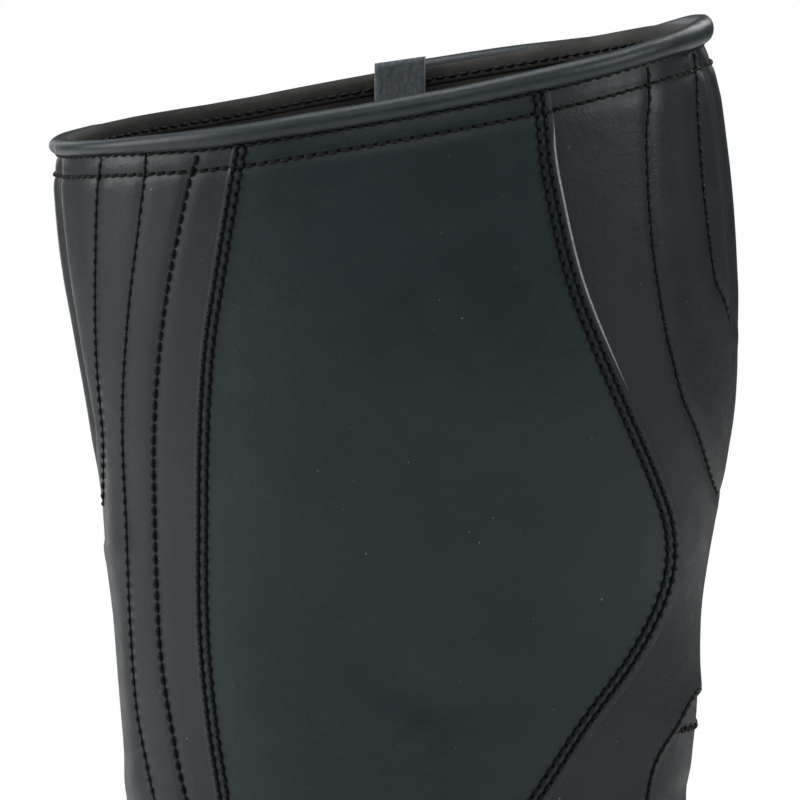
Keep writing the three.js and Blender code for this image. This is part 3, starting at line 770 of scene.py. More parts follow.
class Finish:
    """A material and its nodes, with the helpers that each finish uses."""

    def __init__(self, name, base, roughness, specular=0.5, coat=0, sheen=0):
        self.material = bpy.data.materials.new(name)
        self.material.use_nodes = True
        self.tree = self.material.node_tree
        self.shader = self.tree.nodes["Principled BSDF"]
        for socket, value in (
            ("Base Color", base), ("Roughness", roughness), ("Specular IOR Level", specular),
            ("Coat Weight", coat), ("Coat Roughness", 0.35), ("Sheen Weight", sheen),
        ):
            self.shader.inputs[socket].default_value = value
        self.place = self.tree.nodes.new("ShaderNodeTexCoord").outputs["Object"]

    def node(self, kind, values):
        """New node with its inputs, by name or number, set to values or linked to other nodes."""
        node = self.tree.nodes.new("ShaderNode" + kind)
        for name, value in values.items():
            if isinstance(value, bpy.types.NodeSocket):
                self.tree.links.new(value, node.inputs[name])
            else:
                node.inputs[name].default_value = value
        return node

    def pattern(self, kind, size, stretch=(1, 1, 1), **values):
        """Texture node with features of about the given size in millimetres."""
        scale = [1000 / size / s for s in stretch]
        mapping = self.node("Mapping", {"Scale": scale, "Vector": self.place})
        return self.node(kind, {"Vector": mapping.outputs["Vector"], "Scale": 1, **values})

    def noise(self, size, detail=3, roughness=0.55, stretch=(1, 1, 1)):
        pattern = self.pattern("TexNoise", size, stretch, Detail=detail, Roughness=roughness)
        return pattern.outputs["Fac"]

    def cells(self, size):
        return self.pattern("TexVoronoi", size).outputs["Distance"]

    def spread(self, value, low, high, to_low=0.0, to_high=1.0):
        ends = {"From Min": low, "From Max": high, "To Min": to_low, "To Max": to_high}
        return self.node("MapRange", {"Value": value, **ends}).outputs["Result"]

    def product(self, a, b):
        node = self.node("Math", {0: a, 1: b})
        node.operation = "MULTIPLY"
        return node.outputs["Value"]

    def blend(self, share, first, second):
        node = self.tree.nodes.new("ShaderNodeMix")
        node.data_type = "RGBA"
        self.tree.links.new(share, node.inputs["Factor"])
        for value, socket in zip((first, second), (node.inputs[6], node.inputs[7])):
            if isinstance(value, tuple):
                socket.default_value = value
            else:
                self.tree.links.new(value, socket)
        return node.outputs[2]

    def bump(self, layers):
        """Bump from (height, depth in millimetres) layers."""
        values = {}
        for height, depth in layers:
            values.update({"Strength": 1, "Distance": depth / 1000, "Height": height})
            values["Normal"] = self.node("Bump", values).outputs["Normal"]
        self.set("Normal", values["Normal"])

    def set(self, name, value):
        self.tree.links.new(value, self.shader.inputs[name])


def leather(name, dark, light, roughness, coat=0.08):
    """Smooth finished leather: faint mottling, fine pores, a few specks of dust, soft gloss."""
    finish = Finish(name, dark, roughness, specular=0.34, coat=coat)
    mottle = finish.spread(finish.noise(11, 4, 0.6), 0.35, 0.7)
    tone = finish.blend(mottle, dark, light)
    cool = finish.spread(finish.noise(34, 2), 0.35, 0.65)
    tone = finish.blend(cool, tone, (light[0] * 1.1, light[1] * 0.92, light[2] * 0.95, 1))
    specks = finish.spread(finish.noise(0.85, 1, 0.3), 0.80, 0.83, 0.0, 0.3)
    patches = finish.spread(finish.noise(16, 2), 0.45, 0.62)
    tone = finish.blend(finish.product(specks, patches), tone, colour(205, 208, 210))
    finish.set("Base Color", tone)
    worn = finish.noise(7, 5, 0.65)
    finish.set("Roughness", finish.spread(worn, 0.3, 0.7, roughness - 0.06, roughness + 0.08))
    pores = finish.cells(0.55)
    wrinkle = finish.noise(1.7, 4, 0.6)
    soft = finish.noise(6.5, 3, 0.5)
    finish.bump([(pores, 0.035), (wrinkle, 0.09), (soft, 0.22)])
    return finish.material


def grained(name, base, roughness, grain, shades, layers, span=(0.3, 0.7), rough=None, **gloss):
    """Material between two shades by a noise of size, detail and roughness, with bump layers.

    A layer is a noise and its depth; one number in place of a noise is the size of cells.
    """
    finish = Finish(name, colour(*base), roughness, **gloss)
    tone = finish.spread(finish.noise(*grain), *span)
    finish.set("Base Color", finish.blend(tone, *(colour(*shade) for shade in shades)))
    if rough:
        finish.set("Roughness", finish.spread(finish.noise(*rough), 0.3, 0.7, 0.6, 0.8))
    finish.bump([
        (finish.noise(*form) if isinstance(form, tuple) else finish.cells(form), depth)
        for form, depth in layers
    ])
    return finish.material


LEATHER = leather("panel_leather", colour(17, 27, 30), colour(24, 34, 37), 0.46)
SIDE_LEATHER = leather("side_leather", colour(12, 29, 33), colour(18, 37, 41), 0.44)
VAMP_LEATHER = leather("vamp_leather", colour(16, 26, 30), colour(23, 34, 38), 0.45)
PIPING_LEATHER = leather("piping_leather", colour(25, 36, 39), colour(35, 47, 51), 0.42, coat=0.12)
SUEDE = grained(
    "strap_suede", (62, 69, 73), 0.95, (0.9, 4, 0.7, (1, 1, 2)), ((62, 69, 73), (94, 101, 105)),
    [((0.5, 3, 0.7), 0.12), ((3.5, 3), 0.2)], specular=0.2, sheen=0.25,
)
LINING = grained(
    "lining_leather", (46, 43, 41), 0.72, (9, 4), ((46, 46, 45), (66, 65, 63)),
    [(0.7, 0.05), ((2.2, 4), 0.12)], specular=0.25,
)
THREAD = grained(
    "thread", (11, 11, 12), 0.6, (0.35, 2, 0.5), ((6, 6, 7), (17, 17, 19)),
    [((0.35, 2, 0.5), 0.06)], span=(0.35, 0.65), specular=0.25,
)
CUT_EDGE = grained(
    "cut_edge", (120, 118, 114), 0.85, (0.8, 4, 0.7), ((104, 108, 112), (176, 180, 184)),
    [((0.45, 3, 0.7), 0.08)], specular=0.2,
)
RUBBER = grained(
    "sole_rubber", (24, 24, 25), 0.7, (14, 5, 0.6), ((20, 20, 21), (40, 39, 38)),
    [((0.6, 3, 0.6), 0.04), ((5, 3), 0.08)], span=(0.35, 0.75), rough=(3, 4), specular=0.35,
)
WELT_LEATHER = grained(
    "midsole_leather", (30, 28, 27), 0.55, (5, 4), ((24, 23, 22), (46, 43, 40)),
    [((1.4, 3, 0.6, (6, 6, 0.6)), 0.1), ((0.8, 3), 0.05)], specular=0.4, coat=0.1,
)
BOARD = grained(
    "insole_fabric", (58, 53, 47), 0.9, (1.1, 3, 0.7), ((48, 44, 40), (76, 70, 62)),
    [((0.7, 2), 0.12)], specular=0.2, sheen=0.1,
)
# Near-black finish of the discs that paint the shade inside the needle holes
HOLE_SHADE = Finish("needle_hole_shade", colour(8, 8, 9), 0.9, specular=0.1).material


def finer(start, end, step):
    return np.linspace(start, end, max(2, int(round(abs(end - start) / step)) + 1))


TURN_STEP = 0.0046
LEVEL_STEP = 0.066


def make_panels():
    collar = [TOP + 0.3, TOP + 0.65, TOP + 1]
    high = np.append(finer(2, TOP, LEVEL_STEP), collar)
    full = np.append(finer(0, TOP, LEVEL_STEP), collar)
    middle = finer(4, TOP - 4, LEVEL_STEP)
    foot = finer(0, 11, LEVEL_STEP)
    edged, plain = (LEATHER, CUT_EDGE), (LEATHER,)
    side = ("side_leather", "side", high, SIDE_HEIGHT, (SIDE_LEATHER, CUT_EDGE),
            {"over": SIDE_HEIGHT, "bevel": side_bevel})
    close = {"over": 0, "reach": 0.7, "margin": 6}
    for name, node, start, end, step, (slot, area, levels, height, slots, more) in (
        ("side_panel_lateral_skin", "side_panel_lateral", 0, 1, TURN_STEP, side),
        ("side_panel_medial_skin", "side_panel_medial", -1, 0, TURN_STEP, side),
        ("shin_panel_skin", "shin_panel", -0.85, 0.85, TURN_STEP,
         ("panel_leather", "shin", full, shin_height, edged, {})),
        ("back_panel_skin", "back_panel", 0.42, 1.58, TURN_STEP,
         ("panel_leather", "back", full, SHIN_HEIGHT, plain, {})),
        ("flex_panel_skin", "flex_panel", -0.6, 0.6, TURN_STEP,
         ("panel_leather", "flex", middle, flex_height, plain, {})),
        ("vamp_skin", "upper", -0.8, 0.8, TURN_STEP * 0.8,
         ("vamp_leather", "vamp", foot, 0, (VAMP_LEATHER,), close)),
    ):
        piece = layer(name, finer(start, end, step), levels, AREAS[area], height, slots, **more)
        finish_piece(piece, slot, node)


def side_bevel(x, z):
    """The side panel's front edge is skived wide and its back edge narrow."""
    front = near_curve(x, z, front_edge[::4], 400)
    back = near_curve(x, z, back_edge[::4], 400)
    wide = np.clip((z - 292) / 18, 0, 1) * np.clip((361 - z) / 7, 0, 1)
    return np.where(front < back, 0.5 + wide, 0.35)


def shin_height(turn, level):
    """The shin panel lies over the flex panel, so it rises a little along the arch."""
    p = face(turn, level, SHIN_HEIGHT)
    d = near_curve(p[:, 0], p[:, 2], flex_edge, 9)
    return SHIN_HEIGHT + 0.55 * bell(d, 4.5)


def rib_profile(z):
    top = flex_edge[1][1]
    low = flex_foot[-1][1]
    rise = np.zeros_like(z)
    centre = top - RIB_PITCH - RIB_WIDTH / 2
    while centre > low + RIB_WIDTH / 2:
        rise = np.maximum(rise, np.clip(1.25 - (np.abs(z - centre) / (RIB_WIDTH * 0.62)) ** 2, 0, 1))
        centre -= RIB_PITCH
    return rise


def flex_height(turn, level):
    p = face(turn, level, SHIN_HEIGHT)
    d = -signed_distance(p[:, 0], p[:, 2], AREAS["flex"])
    inside = np.clip((d - TUCK - 1) / 4, 0, 1)
    soft = np.clip((flex_edge[1][1] - 22 - p[:, 2]) / 36, 0.03, 1)
    return FLEX_HEIGHT + (RIB + 0.5) * rib_profile(p[:, 2]) * inside * soft


# Stitches
STITCH_STEPS = 5
STITCH_SIDES = 6


def stitch_mesh(starts, ends, outs, thick, bow=0.35):
    """Capsule-like stitches from arrays of their ends, a little bowed away from the leather."""
    t = np.linspace(0, 1, STITCH_STEPS)
    radius = thick / 2 * np.array([0.45, 0.9, 1, 0.9, 0.45])
    lift = thick * (np.array([-0.35, 0.25, bow + 0.1, 0.25, -0.35]))
    along = unit(ends - starts)
    across = unit(np.cross(outs, along))
    rings = []
    for k in range(STITCH_STEPS):
        centre = mix(starts, ends, t[k]) + outs * lift[k]
        for j in range(STITCH_SIDES):
            angle = 2 * np.pi * j / STITCH_SIDES
            rings.append(centre + radius[k] * (across * math.cos(angle) + outs * math.sin(angle)))
    points = np.stack(rings, 1)
    size = STITCH_STEPS * STITCH_SIDES
    faces = []
    for k in range(STITCH_STEPS - 1):
        for j in range(STITCH_SIDES):
            a, b = k * STITCH_SIDES + j, k * STITCH_SIDES + (j + 1) % STITCH_SIDES
            faces.append([a, b, b + STITCH_SIDES, a + STITCH_SIDES])
    caps = [list(range(STITCH_SIDES))[::-1], list(range(size - STITCH_SIDES, size))]
    polygons = []
    for n in range(len(starts)):
        polygons += [[v + n * size for v in face] for face in faces + caps]
    return points.reshape(-1, 3), polygons


def row_stitches(line, height, pitch=STITCH_PITCH, length=STITCH_LENGTH, start=0.5):
    """Ends and outward directions of the stitches along a line of (turn, level) places."""
    points, outs = surface(line[:, 0], line[:, 1], np.broadcast_to(height, len(line)))
    run = run_of(points)
    count = max(round((run[-1] - start - length) / pitch), 1)
    firsts = np.linspace(start, run[-1] - length, count + 1)
    starts, ends = read_at(firsts, run, points), read_at(firsts + length, run, points)
    return starts, ends, unit(read_at(firsts + length / 2, run, outs))


def both(line):
    """A line of (turn, level) places and its mirror image on the inner side."""
    return [line, line * np.array([-1, 1])]


def collar_line(distance):
    turn = np.linspace(-1, 1, 500)
    return np.stack([turn, level_at(turn, collar_edge(turn) - distance)], -1)


def under_collar(line):
    """The part of a line under the cord's lower edge."""
    return line[place(line[:, 0], line[:, 1])[:, 2] < collar_edge(line[:, 0]) + 0.3]


def row_along(curve, distance, over=SHIN_HEIGHT):
    """Row of stitches beside a border."""
    return side_line(shifted(curve, distance), over)


def make_stitches():
    rows = {name: [] for name in ("seam", "edge", "double", "heavy")}
    for distance in (FIRST_ROW, SECOND_ROW):
        line = collar_line(distance)
        for start, end, height in panel_spans():
            part = line[(line[:, 0] > start) & (line[:, 0] < end)]
            rows["edge"].append(row_stitches(part, height, start=0.1))
    for name, line in {**back_lines, **front_lines}.items():
        kind, length = ("heavy", STITCH_PITCH + 0.3) if name == "inner" else ("seam", STITCH_LENGTH)
        for half in both(under_collar(line)):
            rows[kind].append(row_stitches(half, SHIN_HEIGHT, length=length))
    for edge, offsets, way in ((front_edge, PANEL_ROWS["front"], 1), (back_edge, PANEL_ROWS["back"], -1)):
        for distance in offsets:
            for half in both(under_collar(row_along(edge, way * distance, SIDE_HEIGHT))):
                rows["double"].append(row_stitches(half, SIDE_HEIGHT))
    for half in both(row_along(flex_edge, 1.3)):
        rows["seam"].append(row_stitches(half, shin_height(half[:, 0], half[:, 1])))
    heel_seam = spline([tip, seam_foot], 1)
    for curve, distance in ((vamp_seam, -1.3), (vamp_seam, -2.9), (heel_seam, 1.5)):
        for half in both(row_along(curve, distance)):
            rows["seam"].append(row_stitches(half, SHIN_HEIGHT))
    for kind, thick in (("seam", 1), ("edge", 1), ("double", 1.4), ("heavy", 1.5)):
        starts, ends, outs = (np.concatenate([row[k] for row in rows[kind]]) for k in range(3))
        sew(kind + "_stitches", starts, ends, outs, STITCH_THICK * thick)
        # Each row but the heavy one gets painted shade of its needle holes, as dark discs at the stitch
        # ends
        if kind != "heavy":
            make_hole_shades(kind + "_hole_shades", starts, ends, outs)
    make_zigzag()


def sew(name, starts, ends, outs, thick=STITCH_THICK):
    """A piece of thread for each pair of ends."""
    points, polygons = stitch_mesh(starts, ends, outs, thick)
    finish_piece(new_mesh(name, points, polygons, (THREAD,)), "thread")


def panel_spans():
    """Parts of the collar, each with the height of the panel that reaches it there."""
    front = side_line(front_edge, SIDE_HEIGHT)
    back = side_line(back_edge, SIDE_HEIGHT)
    top_front = np.interp(TOP, front[::-1, 1], front[::-1, 0])
    top_back = np.interp(TOP, back[::-1, 1], back[::-1, 0])
    return [
        (-top_front, top_front, SHIN_HEIGHT),
        (top_front, top_back, SIDE_HEIGHT),
        (-top_back, -top_front, SIDE_HEIGHT),
        (top_back, 1, SHIN_HEIGHT),
        (-1, -top_back, SHIN_HEIGHT),
    ]


# Size of the dark discs that paint the needle holes' shade
HOLE_SHADE_SIDES = 6
HOLE_SHADE_RADIUS = 0.6


def make_hole_shades(name, starts, ends, outs):
    """Painted shade of the needle holes: dark discs at both ends of every stitch, a little raised in the
    middle.
    """
    centres = np.concatenate([starts, ends])
    normals = np.concatenate([outs, outs])
    along = unit(np.concatenate([ends - starts, ends - starts]))
    across = np.cross(normals, along)
    rings = []
    for j in range(HOLE_SHADE_SIDES):
        angle = 2 * np.pi * j / HOLE_SHADE_SIDES
        out = along * math.cos(angle) + across * math.sin(angle)
        rings.append(centres + HOLE_SHADE_RADIUS * out + normals * 0.04)
    rings.append(centres + normals * 0.14)
    points = np.stack(rings, 1).reshape(-1, 3)
    size = HOLE_SHADE_SIDES + 1
    disc = [(j, (j + 1) % HOLE_SHADE_SIDES, HOLE_SHADE_SIDES) for j in range(HOLE_SHADE_SIDES)]
    polygons = [[n * size + v for v in corner] for n in range(len(centres)) for corner in disc]
    finish_piece(new_mesh(name, points, polygons, (HOLE_SHADE,)), "thread")


ZIGZAG_STEP = 1.9
ZIGZAG_REACH = 0.9


def make_zigzag():
    """Thick zigzag rows between the ribs of the flex panel."""
    centre = flex_edge[1][1] - RIB_PITCH / 2 - RIB_WIDTH / 2
    starts, ends, outs = [], [], []
    while centre > flex_foot[-1][1] + RIB_WIDTH:
        line_z = centre - 0.8
        turns = np.linspace(-0.5, 0.5, 800)
        levels = level_at(turns, np.full(800, line_z))
        p = place(turns, levels)
        inside = signed_distance(p[:, 0], p[:, 2], AREAS["flex"]) < -0.6
        turns, levels = turns[inside], levels[inside]
        p = p[inside]
        run = run_of(p)
        count = int(run[-1] / ZIGZAG_STEP)
        t = np.interp(np.linspace(0, run[-1], count + 1), run, turns)
        z = line_z + np.where(np.arange(count + 1) % 2, ZIGZAG_REACH, -ZIGZAG_REACH)
        l = level_at(t, z)
        points, out = surface(t, l, flex_height(t, l))
        starts.append(points[:-1])
        ends.append(points[1:])
        outs.append(unit(out[:-1] + out[1:]))
        centre -= 2 * RIB_PITCH
    sew("flex_zigzag", *(np.concatenate(part) for part in (starts, ends, outs)))


def loft(rings, close=True, caps=False):
    """Points and polygons through a list of closed rings of equal size."""
    count = len(rings[0])
    points = np.concatenate(rings)
    polygons = []
    span = len(rings) if close else len(rings) - 1
    for k in range(span):
        for i in range(count):
            a, b = k * count + i, k * count + (i + 1) % count
            c, d = (k + 1) % len(rings) * count + (i + 1) % count, (k + 1) % len(rings) * count + i
            polygons.append([a, b, c, d])
    if caps:
        for ring, flip in ((0, True), (len(rings) - 1, False)):
            base = ring * count
            for i in range(count // 2):
                q = [base + i, base + i + 1, base + (count - i - 1) % count, base + (count - i) % count]
                q = list(dict.fromkeys(q))
                polygons.append(q[::-1] if flip else q)
    return points, polygons


CORD_STEPS = 560
CORD_SIDES = 18
COLLAR_HALF = 215  # about half the way round the collar
FACING_STEPS = 360
FACING_BAND = 1.8
FACING_THICK = 0.7
# The facing's places under the cord's lower edge and how far they sink from its thickness
FACING_FORM = [
    (-3.4, 0.8), (-2.6, 0.2), (-1.6, -0.05), (-0.5, 0), (0, 0.08), (0.3, 0.22), (0.6, 0.08), (1.1, -0.05),
    (FACING_BAND - 0.3, 0), (FACING_BAND, 0.3), (FACING_BAND, FACING_THICK),
]


def make_collar():
    turn = np.linspace(-1, 1, CORD_STEPS, endpoint=False)
    out = facing(turn, TOP)
    edge = place(turn, TOP) + out * (CORD_OFFSET + relief(turn, TOP + 0.5))[:, None]
    low = collar_lift(turn, "low") - 0.2
    high = collar_lift(turn, "top") + PIPING + GAP
    half = (high - low) / 2
    edge[:, 2] += (high + low) / 2
    run = turn * COLLAR_HALF
    swell = 1 + 0.02 * np.sin(run * 0.13) + 0.012 * np.sin(run * 0.31 + 1)
    rings = []
    for j in range(CORD_SIDES):
        angle = 2 * np.pi * j / CORD_SIDES
        ring = edge + out * (math.cos(angle) * CORD_WIDTH / 2 * swell)[:, None]
        ring[:, 2] += math.sin(angle) * half * swell
        rings.append(ring)
    piece = new_mesh("collar_piping_cord", *loft(rings), (PIPING_LEATHER,), closed=True)
    finish_piece(piece, "piping_leather", "collar_piping")
    make_facing()


def make_facing():
    """Band of lining leather inside the collar, sewn on close under the cord."""
    turn = np.linspace(-1, 1, FACING_STEPS, endpoint=False)
    top = collar_edge(turn)
    rings = []
    for distance, sink in FACING_FORM:
        level = level_at(turn, top - max(distance, 0))
        points, _ = surface(turn, level, np.full(len(turn), -WALL - FACING_THICK + sink))
        points[:, 2] -= min(distance, 0)
        rings.append(points)
    piece = new_mesh("collar_facing", *loft(rings, close=False), (LINING,))
    finish_piece(piece, "lining_leather")
    line = collar_line(0.3)[::-1]
    points, out = surface(line[:, 0], line[:, 1], np.full(len(line), -WALL - FACING_THICK - 0.05))
    run = run_of(points)
    firsts = np.arange(0, run[-1] - STITCH_LENGTH, STITCH_PITCH)
    starts, ends = read_at(firsts, run, points), read_at(firsts + STITCH_LENGTH, run, points)
    sew("facing_stitches", starts, ends, -unit(read_at(firsts, run, out)))


LINING_STEPS = 170
LINING_ROWS = 116


def make_lining():
    turn = np.linspace(-1, 1, LINING_STEPS, endpoint=False)
    levels = np.append(np.linspace(0, TOP, LINING_ROWS), [TOP + 0.5, TOP + 0.9])
    rings = [
        surface(turn, np.full(LINING_STEPS, level), np.full(LINING_STEPS, height))[0]
        for height, order in ((-WALL, levels), (-0.9, levels[::-1]))
        for level in order
    ]
    piece = new_mesh("upper_lining", *loft(rings), (LINING,), closed=True)
    finish_piece(piece, "lining_leather", "upper")


STRAP_COLUMNS = 13


def make_strap():
    """Pull strap, sewn under the piping and hanging a little off the inner side's wall."""
    back = (PIPING + WALL - GAP - PANEL) / 2 + GAP
    top = np.interp(STRAP_OFFSET, [SHAFT_BACK, SHAFT_BACK + CALF_DEPTH], [COLLAR_BACK, COLLAR_FRONT])
    low = (COLLAR_BACK + COLLAR_FRONT) / 2 - STRAP_DEPTH
    heights = np.linspace(top + PIPING + GAP + 2.3, low, 70)
    widths = np.linspace(-1, 1, STRAP_COLUMNS)
    faces = {}
    for side, depth in (("wall", 0.15), ("open", STRAP_THICK)):
        rows = []
        for z in heights:
            x = STRAP_OFFSET + widths * (STRAP_WIDTH / 2 - (0.25 if side == "open" else 0))
            turn, level = find(x, np.full(STRAP_COLUMNS, min(z, top - 0.1)), 0)
            p = place(-turn, level)
            out = facing(-turn, level)
            hang = 1.2 * math.sin(np.clip((top - z) / (top - low), 0, 1) * math.pi)
            hang = hang + 0.35 * np.sin(z / 9 + widths)
            curl = 0.5 * np.abs(widths) ** 3 * np.clip((top - z) / 20, 0, 1)
            p = p - out * (back + depth + hang + curl)[:, None]
            p[:, 2] = z + 0.14 * (x - STRAP_OFFSET) * np.clip((z - top + 20) / 20, 0, 1)
            rows.append(p)
        faces[side] = rows
    rings = [np.concatenate([a, b[::-1]]) for a, b in zip(faces["wall"], faces["open"])]
    points, polygons = loft(rings, close=False)
    count = len(rings[0])
    for ring in (0, len(rings) - 1):
        for i in range(STRAP_COLUMNS - 1):
            base = ring * count
            quad = [base + i, base + i + 1, base + count - 2 - i, base + count - 1 - i]
            polygons.append(quad if ring else quad[::-1])
    piece = new_mesh("pull_strap_web", points, polygons, (SUEDE, CUT_EDGE), closed=True)
    finish_piece(piece, "strap_suede", "pull_strap")


SOLE_STEPS = 300


def sole_ring(distance, height):
    """Ring round the upper's lower edge, moved out level; height is a function of that edge's."""
    turn = np.linspace(-1, 1, SOLE_STEPS, endpoint=False)
    p = place(turn, 0)
    out = facing(turn, 0)
    out[:, 2] = 0
    ring = p + unit(out) * distance
    ring[:, 2] = height(p[:, 2])
    return ring


def sole_stack(name, profile, slots):
    """Closed body from (distance, height function) rings, low to high."""
    rings = [sole_ring(*row) for row in profile]
    return new_mesh(name, *loft(rings, close=False, caps=True), slots, closed=True)


def midsole_top(z):
    return z - GAP


def plate_top(z):
    return midsole_top(z) - MIDSOLE - GAP


def plate_low(z):
    return plate_top(z) - PLATE


def offset(base, rise):
    return lambda z: base(z) + rise


WELT_GROOVE = 0.35
WELT_STITCH = 3.6
WELT_PITCH = 4.6


def make_midsole():
    profile = [
        (-6, -MIDSOLE), (WELT - 1.2, -MIDSOLE), (WELT - 0.25, -MIDSOLE + 0.08), (WELT, -MIDSOLE + 0.4),
        (WELT, -2.5), (WELT - WELT_GROOVE, -2.3), (WELT - WELT_GROOVE, -2.2), (WELT, -2.0),
        (WELT, -0.45), (WELT - 0.25, -0.08), (WELT - 0.9, 0), (-1.2, 0), (-6, 0),
    ]
    profile = [(distance, offset(midsole_top, rise)) for distance, rise in profile]
    finish_piece(sole_stack("midsole_welt", profile, (WELT_LEATHER,)), "midsole_leather", "midsole")
    turn = np.linspace(-1, 1, 900)
    edge = place(turn, 0)
    p = edge + facing(turn, 0) * (WELT - 0.75)
    p[:, 2] = midsole_top(edge[:, 2])
    run = run_of(p)
    firsts = np.arange(0, run[-1] - 3.4, WELT_PITCH)
    up = np.tile([0, 0, 1.0], (len(firsts), 1))
    sew("welt_stitches", read_at(firsts, run, p), read_at(firsts + WELT_STITCH, run, p), up, 0.95)


def make_insole():
    edge = -(WALL + GAP + 0.2)
    profile = [(edge, 0.05), (edge, INSOLE - 0.5)]
    profile += [(edge - inner, INSOLE) for inner in (0.4, 2.5, 9)]
    profile = [(distance, lambda z, rise=rise: z + rise) for distance, rise in profile]
    finish_piece(sole_stack("insole_board", profile, (BOARD,)), "insole_fabric", "insole")


BOX_FACES = [[0, 1, 3, 2], [4, 6, 7, 5], [0, 4, 5, 1], [2, 3, 7, 6], [0, 2, 6, 4], [1, 5, 7, 3]]


def boxes_object(name, boxes):
    """One object of boxes, each given by its ends along x, y and z."""
    points, faces = [], []
    for x0, x1, y0, y1, z0, z1 in boxes:
        faces += [[v + len(points) for v in face] for face in BOX_FACES]
        points += [(x, y, z) for x in (x0, x1) for y in (y0, y1) for z in (z0, z1)]
    return new_mesh(name, points, faces, closed=True)


def carve(body, boxes, operation, bevel=0.45):
    """Body cut by boxes, with its sharp edges broken."""
    cutter = boxes_object("cutter", boxes)
    cut = body.modifiers.new("cut", "BOOLEAN")
    cut.operation = operation
    cut.object = cutter
    cut.solver = "EXACT"
    cut.use_self = True
    if bevel:
        broken = body.modifiers.new("broken", "BEVEL")
        broken.width = bevel / 1000
        broken.segments = 2
        broken.limit_method = "ANGLE"
        broken.angle_limit = math.radians(35)
    return settle(body, cutter)


def settle(body, *spent):
    """The body with its modifiers made real and its sharp edges marked."""
    graph = bpy.context.evaluated_depsgraph_get()
    mesh = bpy.data.meshes.new_from_object(body.evaluated_get(graph))
    body.modifiers.clear()
    body.data = mesh
    for other in spent:
        bpy.data.objects.remove(other)
    mesh.polygons.foreach_set("use_smooth", np.ones(len(mesh.polygons), dtype=bool))
    mesh.set_sharp_from_angle(angle=math.radians(32))
    return body


def plate_height(x):
    return feather_height(x) - 2 * GAP - MIDSOLE - PLATE


def make_outsole():
    rim = WELT + PLATE_STEP
    profile = [
        (rim - LUG_INSET - 5, plate_low),
        (rim - LUG_INSET, plate_low),
        (rim - 0.4, offset(plate_low, 1.0)),
        (rim, offset(plate_low, 1.6)),
        (rim, offset(plate_top, -0.5)),
        (rim - 0.15, offset(plate_top, -0.12)),
        (rim - 0.6, plate_top),
        (rim - 5, plate_top),
    ]
    piece = sole_stack("outsole_plate", profile, (RUBBER,))
    finish_piece(piece, "sole_rubber", "outsole")
    edge = rim - LUG_INSET
    profile = [
        (edge - 0.6 - 3, offset(plate_low, -LUG)),
        (edge - 0.6, offset(plate_low, -LUG)),
        (edge - 0.3, offset(plate_low, -LUG / 2)),
        (edge, offset(plate_low, 0.8)),
        (edge - 3, offset(plate_low, 0.8)),
    ]
    lugs = sole_stack("outsole_lugs", profile, (RUBBER,))
    start = HEEL_BACK + TREAD[0] * LAST_LENGTH
    end = HEEL_BACK + TREAD[1] * LAST_LENGTH
    lugs = carve(lugs, [(start, FAR + 100, -FAR, FAR, -LUG, FAR)], "INTERSECT", bevel=0)
    cuts = []
    x = start + LUG_PITCH - GROOVE
    while x < end:
        level = min(plate_height(x), plate_height(x + GROOVE))
        cuts.append((x, x + GROOVE, -FAR, FAR, -FAR, level))
        x += LUG_PITCH
    spring = HEEL_BACK + SPRING[0] * LAST_LENGTH
    for y in (-RAIL, RAIL):
        cuts.append((start - GROOVE, spring, y - GROOVE / 2, y + GROOVE / 2, -FAR, LUG))
    finish_piece(carve(lugs, cuts, "DIFFERENCE"), "sole_rubber", "outsole")


def make_heel():
    rim = WELT + PLATE_STEP - LUG_INSET
    top = offset(plate_low, -GAP)
    shares = [0, 0.02, 0.27, 0.28, 0.29, 0.3, 0.51, 0.52, 0.53, 0.54, 0.75, 0.76, 0.77, 0.78, 1]
    inset = {0: 0.4, 0.28: 0.3, 0.29: 0.3, 0.52: 0.2, 0.53: 0.2, 0.76: 0.2, 0.77: 0.2}
    profile = [(rim - HEEL_TAPER - 6, lambda z: 0 * z)]
    for share in shares:
        distance = rim - HEEL_TAPER * (1 - share) - inset.get(share, 0)
        profile.append((distance, lambda z, share=share: top(z) * share))
    profile.append((rim - 6, top))
    body = sole_stack("heel_block", profile, (RUBBER,))
    body = carve(body, [(-FAR, HEEL_BREAST, -FAR, FAR, -FAR, FAR)], "INTERSECT", bevel=0)
    cuts = []
    x = HEEL_GROOVE_PITCH / 2
    while x < HEEL_SETBACK:
        cuts += [(v - GROOVE / 2, v + GROOVE / 2, -FAR, FAR, -FAR, LUG) for v in (x, -x)]
        x += HEEL_GROOVE_PITCH
    finish_piece(carve(body, cuts, "DIFFERENCE"), "sole_rubber", "heel")


def wire(tree, *pairs):
    for source, target in pairs:
        tree.links.new(source, target)


FLOOR_RADIUS = 1600
FLOOR_STEPS = 96


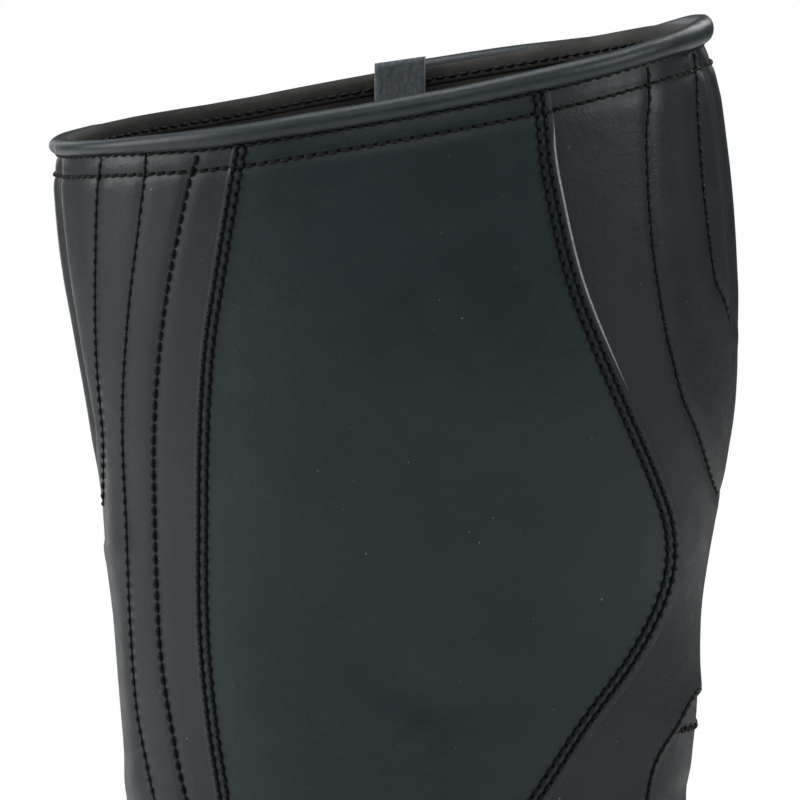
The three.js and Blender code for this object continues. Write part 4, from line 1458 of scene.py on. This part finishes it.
def make_stage():
    """Round white floor that fades into the backdrop away from the boot."""
    white = bpy.data.materials.new("floor_paper")
    white.use_nodes = True
    shader = white.node_tree.nodes["Principled BSDF"]
    shader.inputs["Base Color"].default_value = (0.86, 0.86, 0.86, 1)
    shader.inputs["Roughness"].default_value = 0.9
    nodes = white.node_tree.nodes
    where = nodes.new("ShaderNodeTexCoord")
    length = nodes.new("ShaderNodeVectorMath")
    length.operation = "LENGTH"
    fade = nodes.new("ShaderNodeMapRange")
    fade.interpolation_type = "SMOOTHSTEP"
    fade.inputs["From Min"].default_value = 0.25
    fade.inputs["From Max"].default_value = 0.75
    glow = nodes.new("ShaderNodeEmission")
    glow.inputs["Color"].default_value = (1, 1, 1, 1)
    join = nodes.new("ShaderNodeMixShader")
    seen = nodes.new("ShaderNodeLightPath")
    only = nodes.new("ShaderNodeMath")
    only.operation = "MULTIPLY"
    wire(
        white.node_tree,
        (where.outputs["Object"], length.inputs[0]),
        (length.outputs["Value"], fade.inputs["Value"]),
        (fade.outputs["Result"], only.inputs[0]),
        (seen.outputs["Is Camera Ray"], only.inputs[1]),
        (only.outputs[0], join.inputs[0]),
        (shader.outputs[0], join.inputs[1]),
        (glow.outputs[0], join.inputs[2]),
        (join.outputs[0], nodes["Material Output"].inputs["Surface"]),
    )
    angles = np.linspace(0, 2 * np.pi, FLOOR_STEPS, endpoint=False)
    rim = [(FLOOR_RADIUS * math.cos(a) + 60, FLOOR_RADIUS * math.sin(a), -0.2) for a in angles]
    floor = new_mesh("floor", rim, [list(range(FLOOR_STEPS))], (white,))


LIGHTS_AIM = (30, 0, 250)
# Name, place in millimetres, width and height in metres, power in watts
LIGHTS = [
    ("left_glow", (-700, 1500, 500), (0.35, 1.6), 4),
    ("left_window", (-1350, -60, 850), (0.9, 1.1), 17),
    ("left_front", (-1200, -900, 800), (0.8, 1.2), 2.5),
    ("front_soft", (150, -1750, 1500), (1.6, 1.0), 9),
    ("right_window", (1300, -380, 850), (0.3, 0.45), 5.8),
    ("right_edge", (850, 1250, 1200), (0.3, 0.9), 8),
    ("top_soft", (0, 100, 1600), (1.4, 1.0), 15),
]


def make_lights():
    for name, at, size, power in LIGHTS:
        data = bpy.data.lights.new(name, "AREA")
        data.shape = "RECTANGLE"
        data.size, data.size_y = size
        data.energy = power
        light = bpy.data.objects.new(name, data)
        light.location = Vector(at) / 1000
        light.rotation_euler = (Vector(LIGHTS_AIM) - Vector(at)).to_track_quat("-Z", "Y").to_euler()
        light.visible_camera = False
        bpy.context.scene.collection.objects.link(light)


def make_world():
    """White backdrop for the camera and a faint light from all round."""
    world = bpy.data.worlds.new("studio")
    bpy.context.scene.world = world
    world.use_nodes = True
    nodes = world.node_tree.nodes
    background = nodes["Background"]
    background.inputs["Color"].default_value = (1, 1, 1, 1)
    backdrop = nodes.new("ShaderNodeBackground")
    backdrop.inputs["Color"].default_value = (1, 1, 1, 1)
    backdrop.inputs["Strength"].default_value = 1.0
    background.inputs["Strength"].default_value = 0.05
    path = nodes.new("ShaderNodeLightPath")
    choose = nodes.new("ShaderNodeMixShader")
    wire(
        world.node_tree,
        (path.outputs["Is Camera Ray"], choose.inputs[0]),
        (background.outputs[0], choose.inputs[1]),
        (backdrop.outputs[0], choose.inputs[2]),
        (choose.outputs[0], nodes["World Output"].inputs["Surface"]),
    )
    bpy.context.scene.view_settings.view_transform = "Standard"


def make_camera():
    data = bpy.data.cameras.new("camera")
    data.sensor_width = 36
    data.lens = data.sensor_width * CAMERA_DISTANCE / (PHOTO_SIZE * MM_PER_PIXEL)
    data.clip_start = 0.1
    data.clip_end = 100
    camera = bpy.data.objects.new("camera", data)
    back = Vector((0, -math.cos(VIEW_RISE), math.sin(VIEW_RISE))) * CAMERA_DISTANCE
    camera.location = (Vector((VIEW_X, 0, VIEW_Z)) + back) / 1000
    camera.rotation_euler = (math.pi / 2 - VIEW_RISE, 0, 0)
    bpy.context.scene.collection.objects.link(camera)
    bpy.context.scene.camera = camera


make_camera()
make_lights()
make_world()
make_stage()
make_panels()
make_collar()
make_lining()
make_strap()
make_stitches()
make_midsole()
make_insole()
make_outsole()
make_heel()
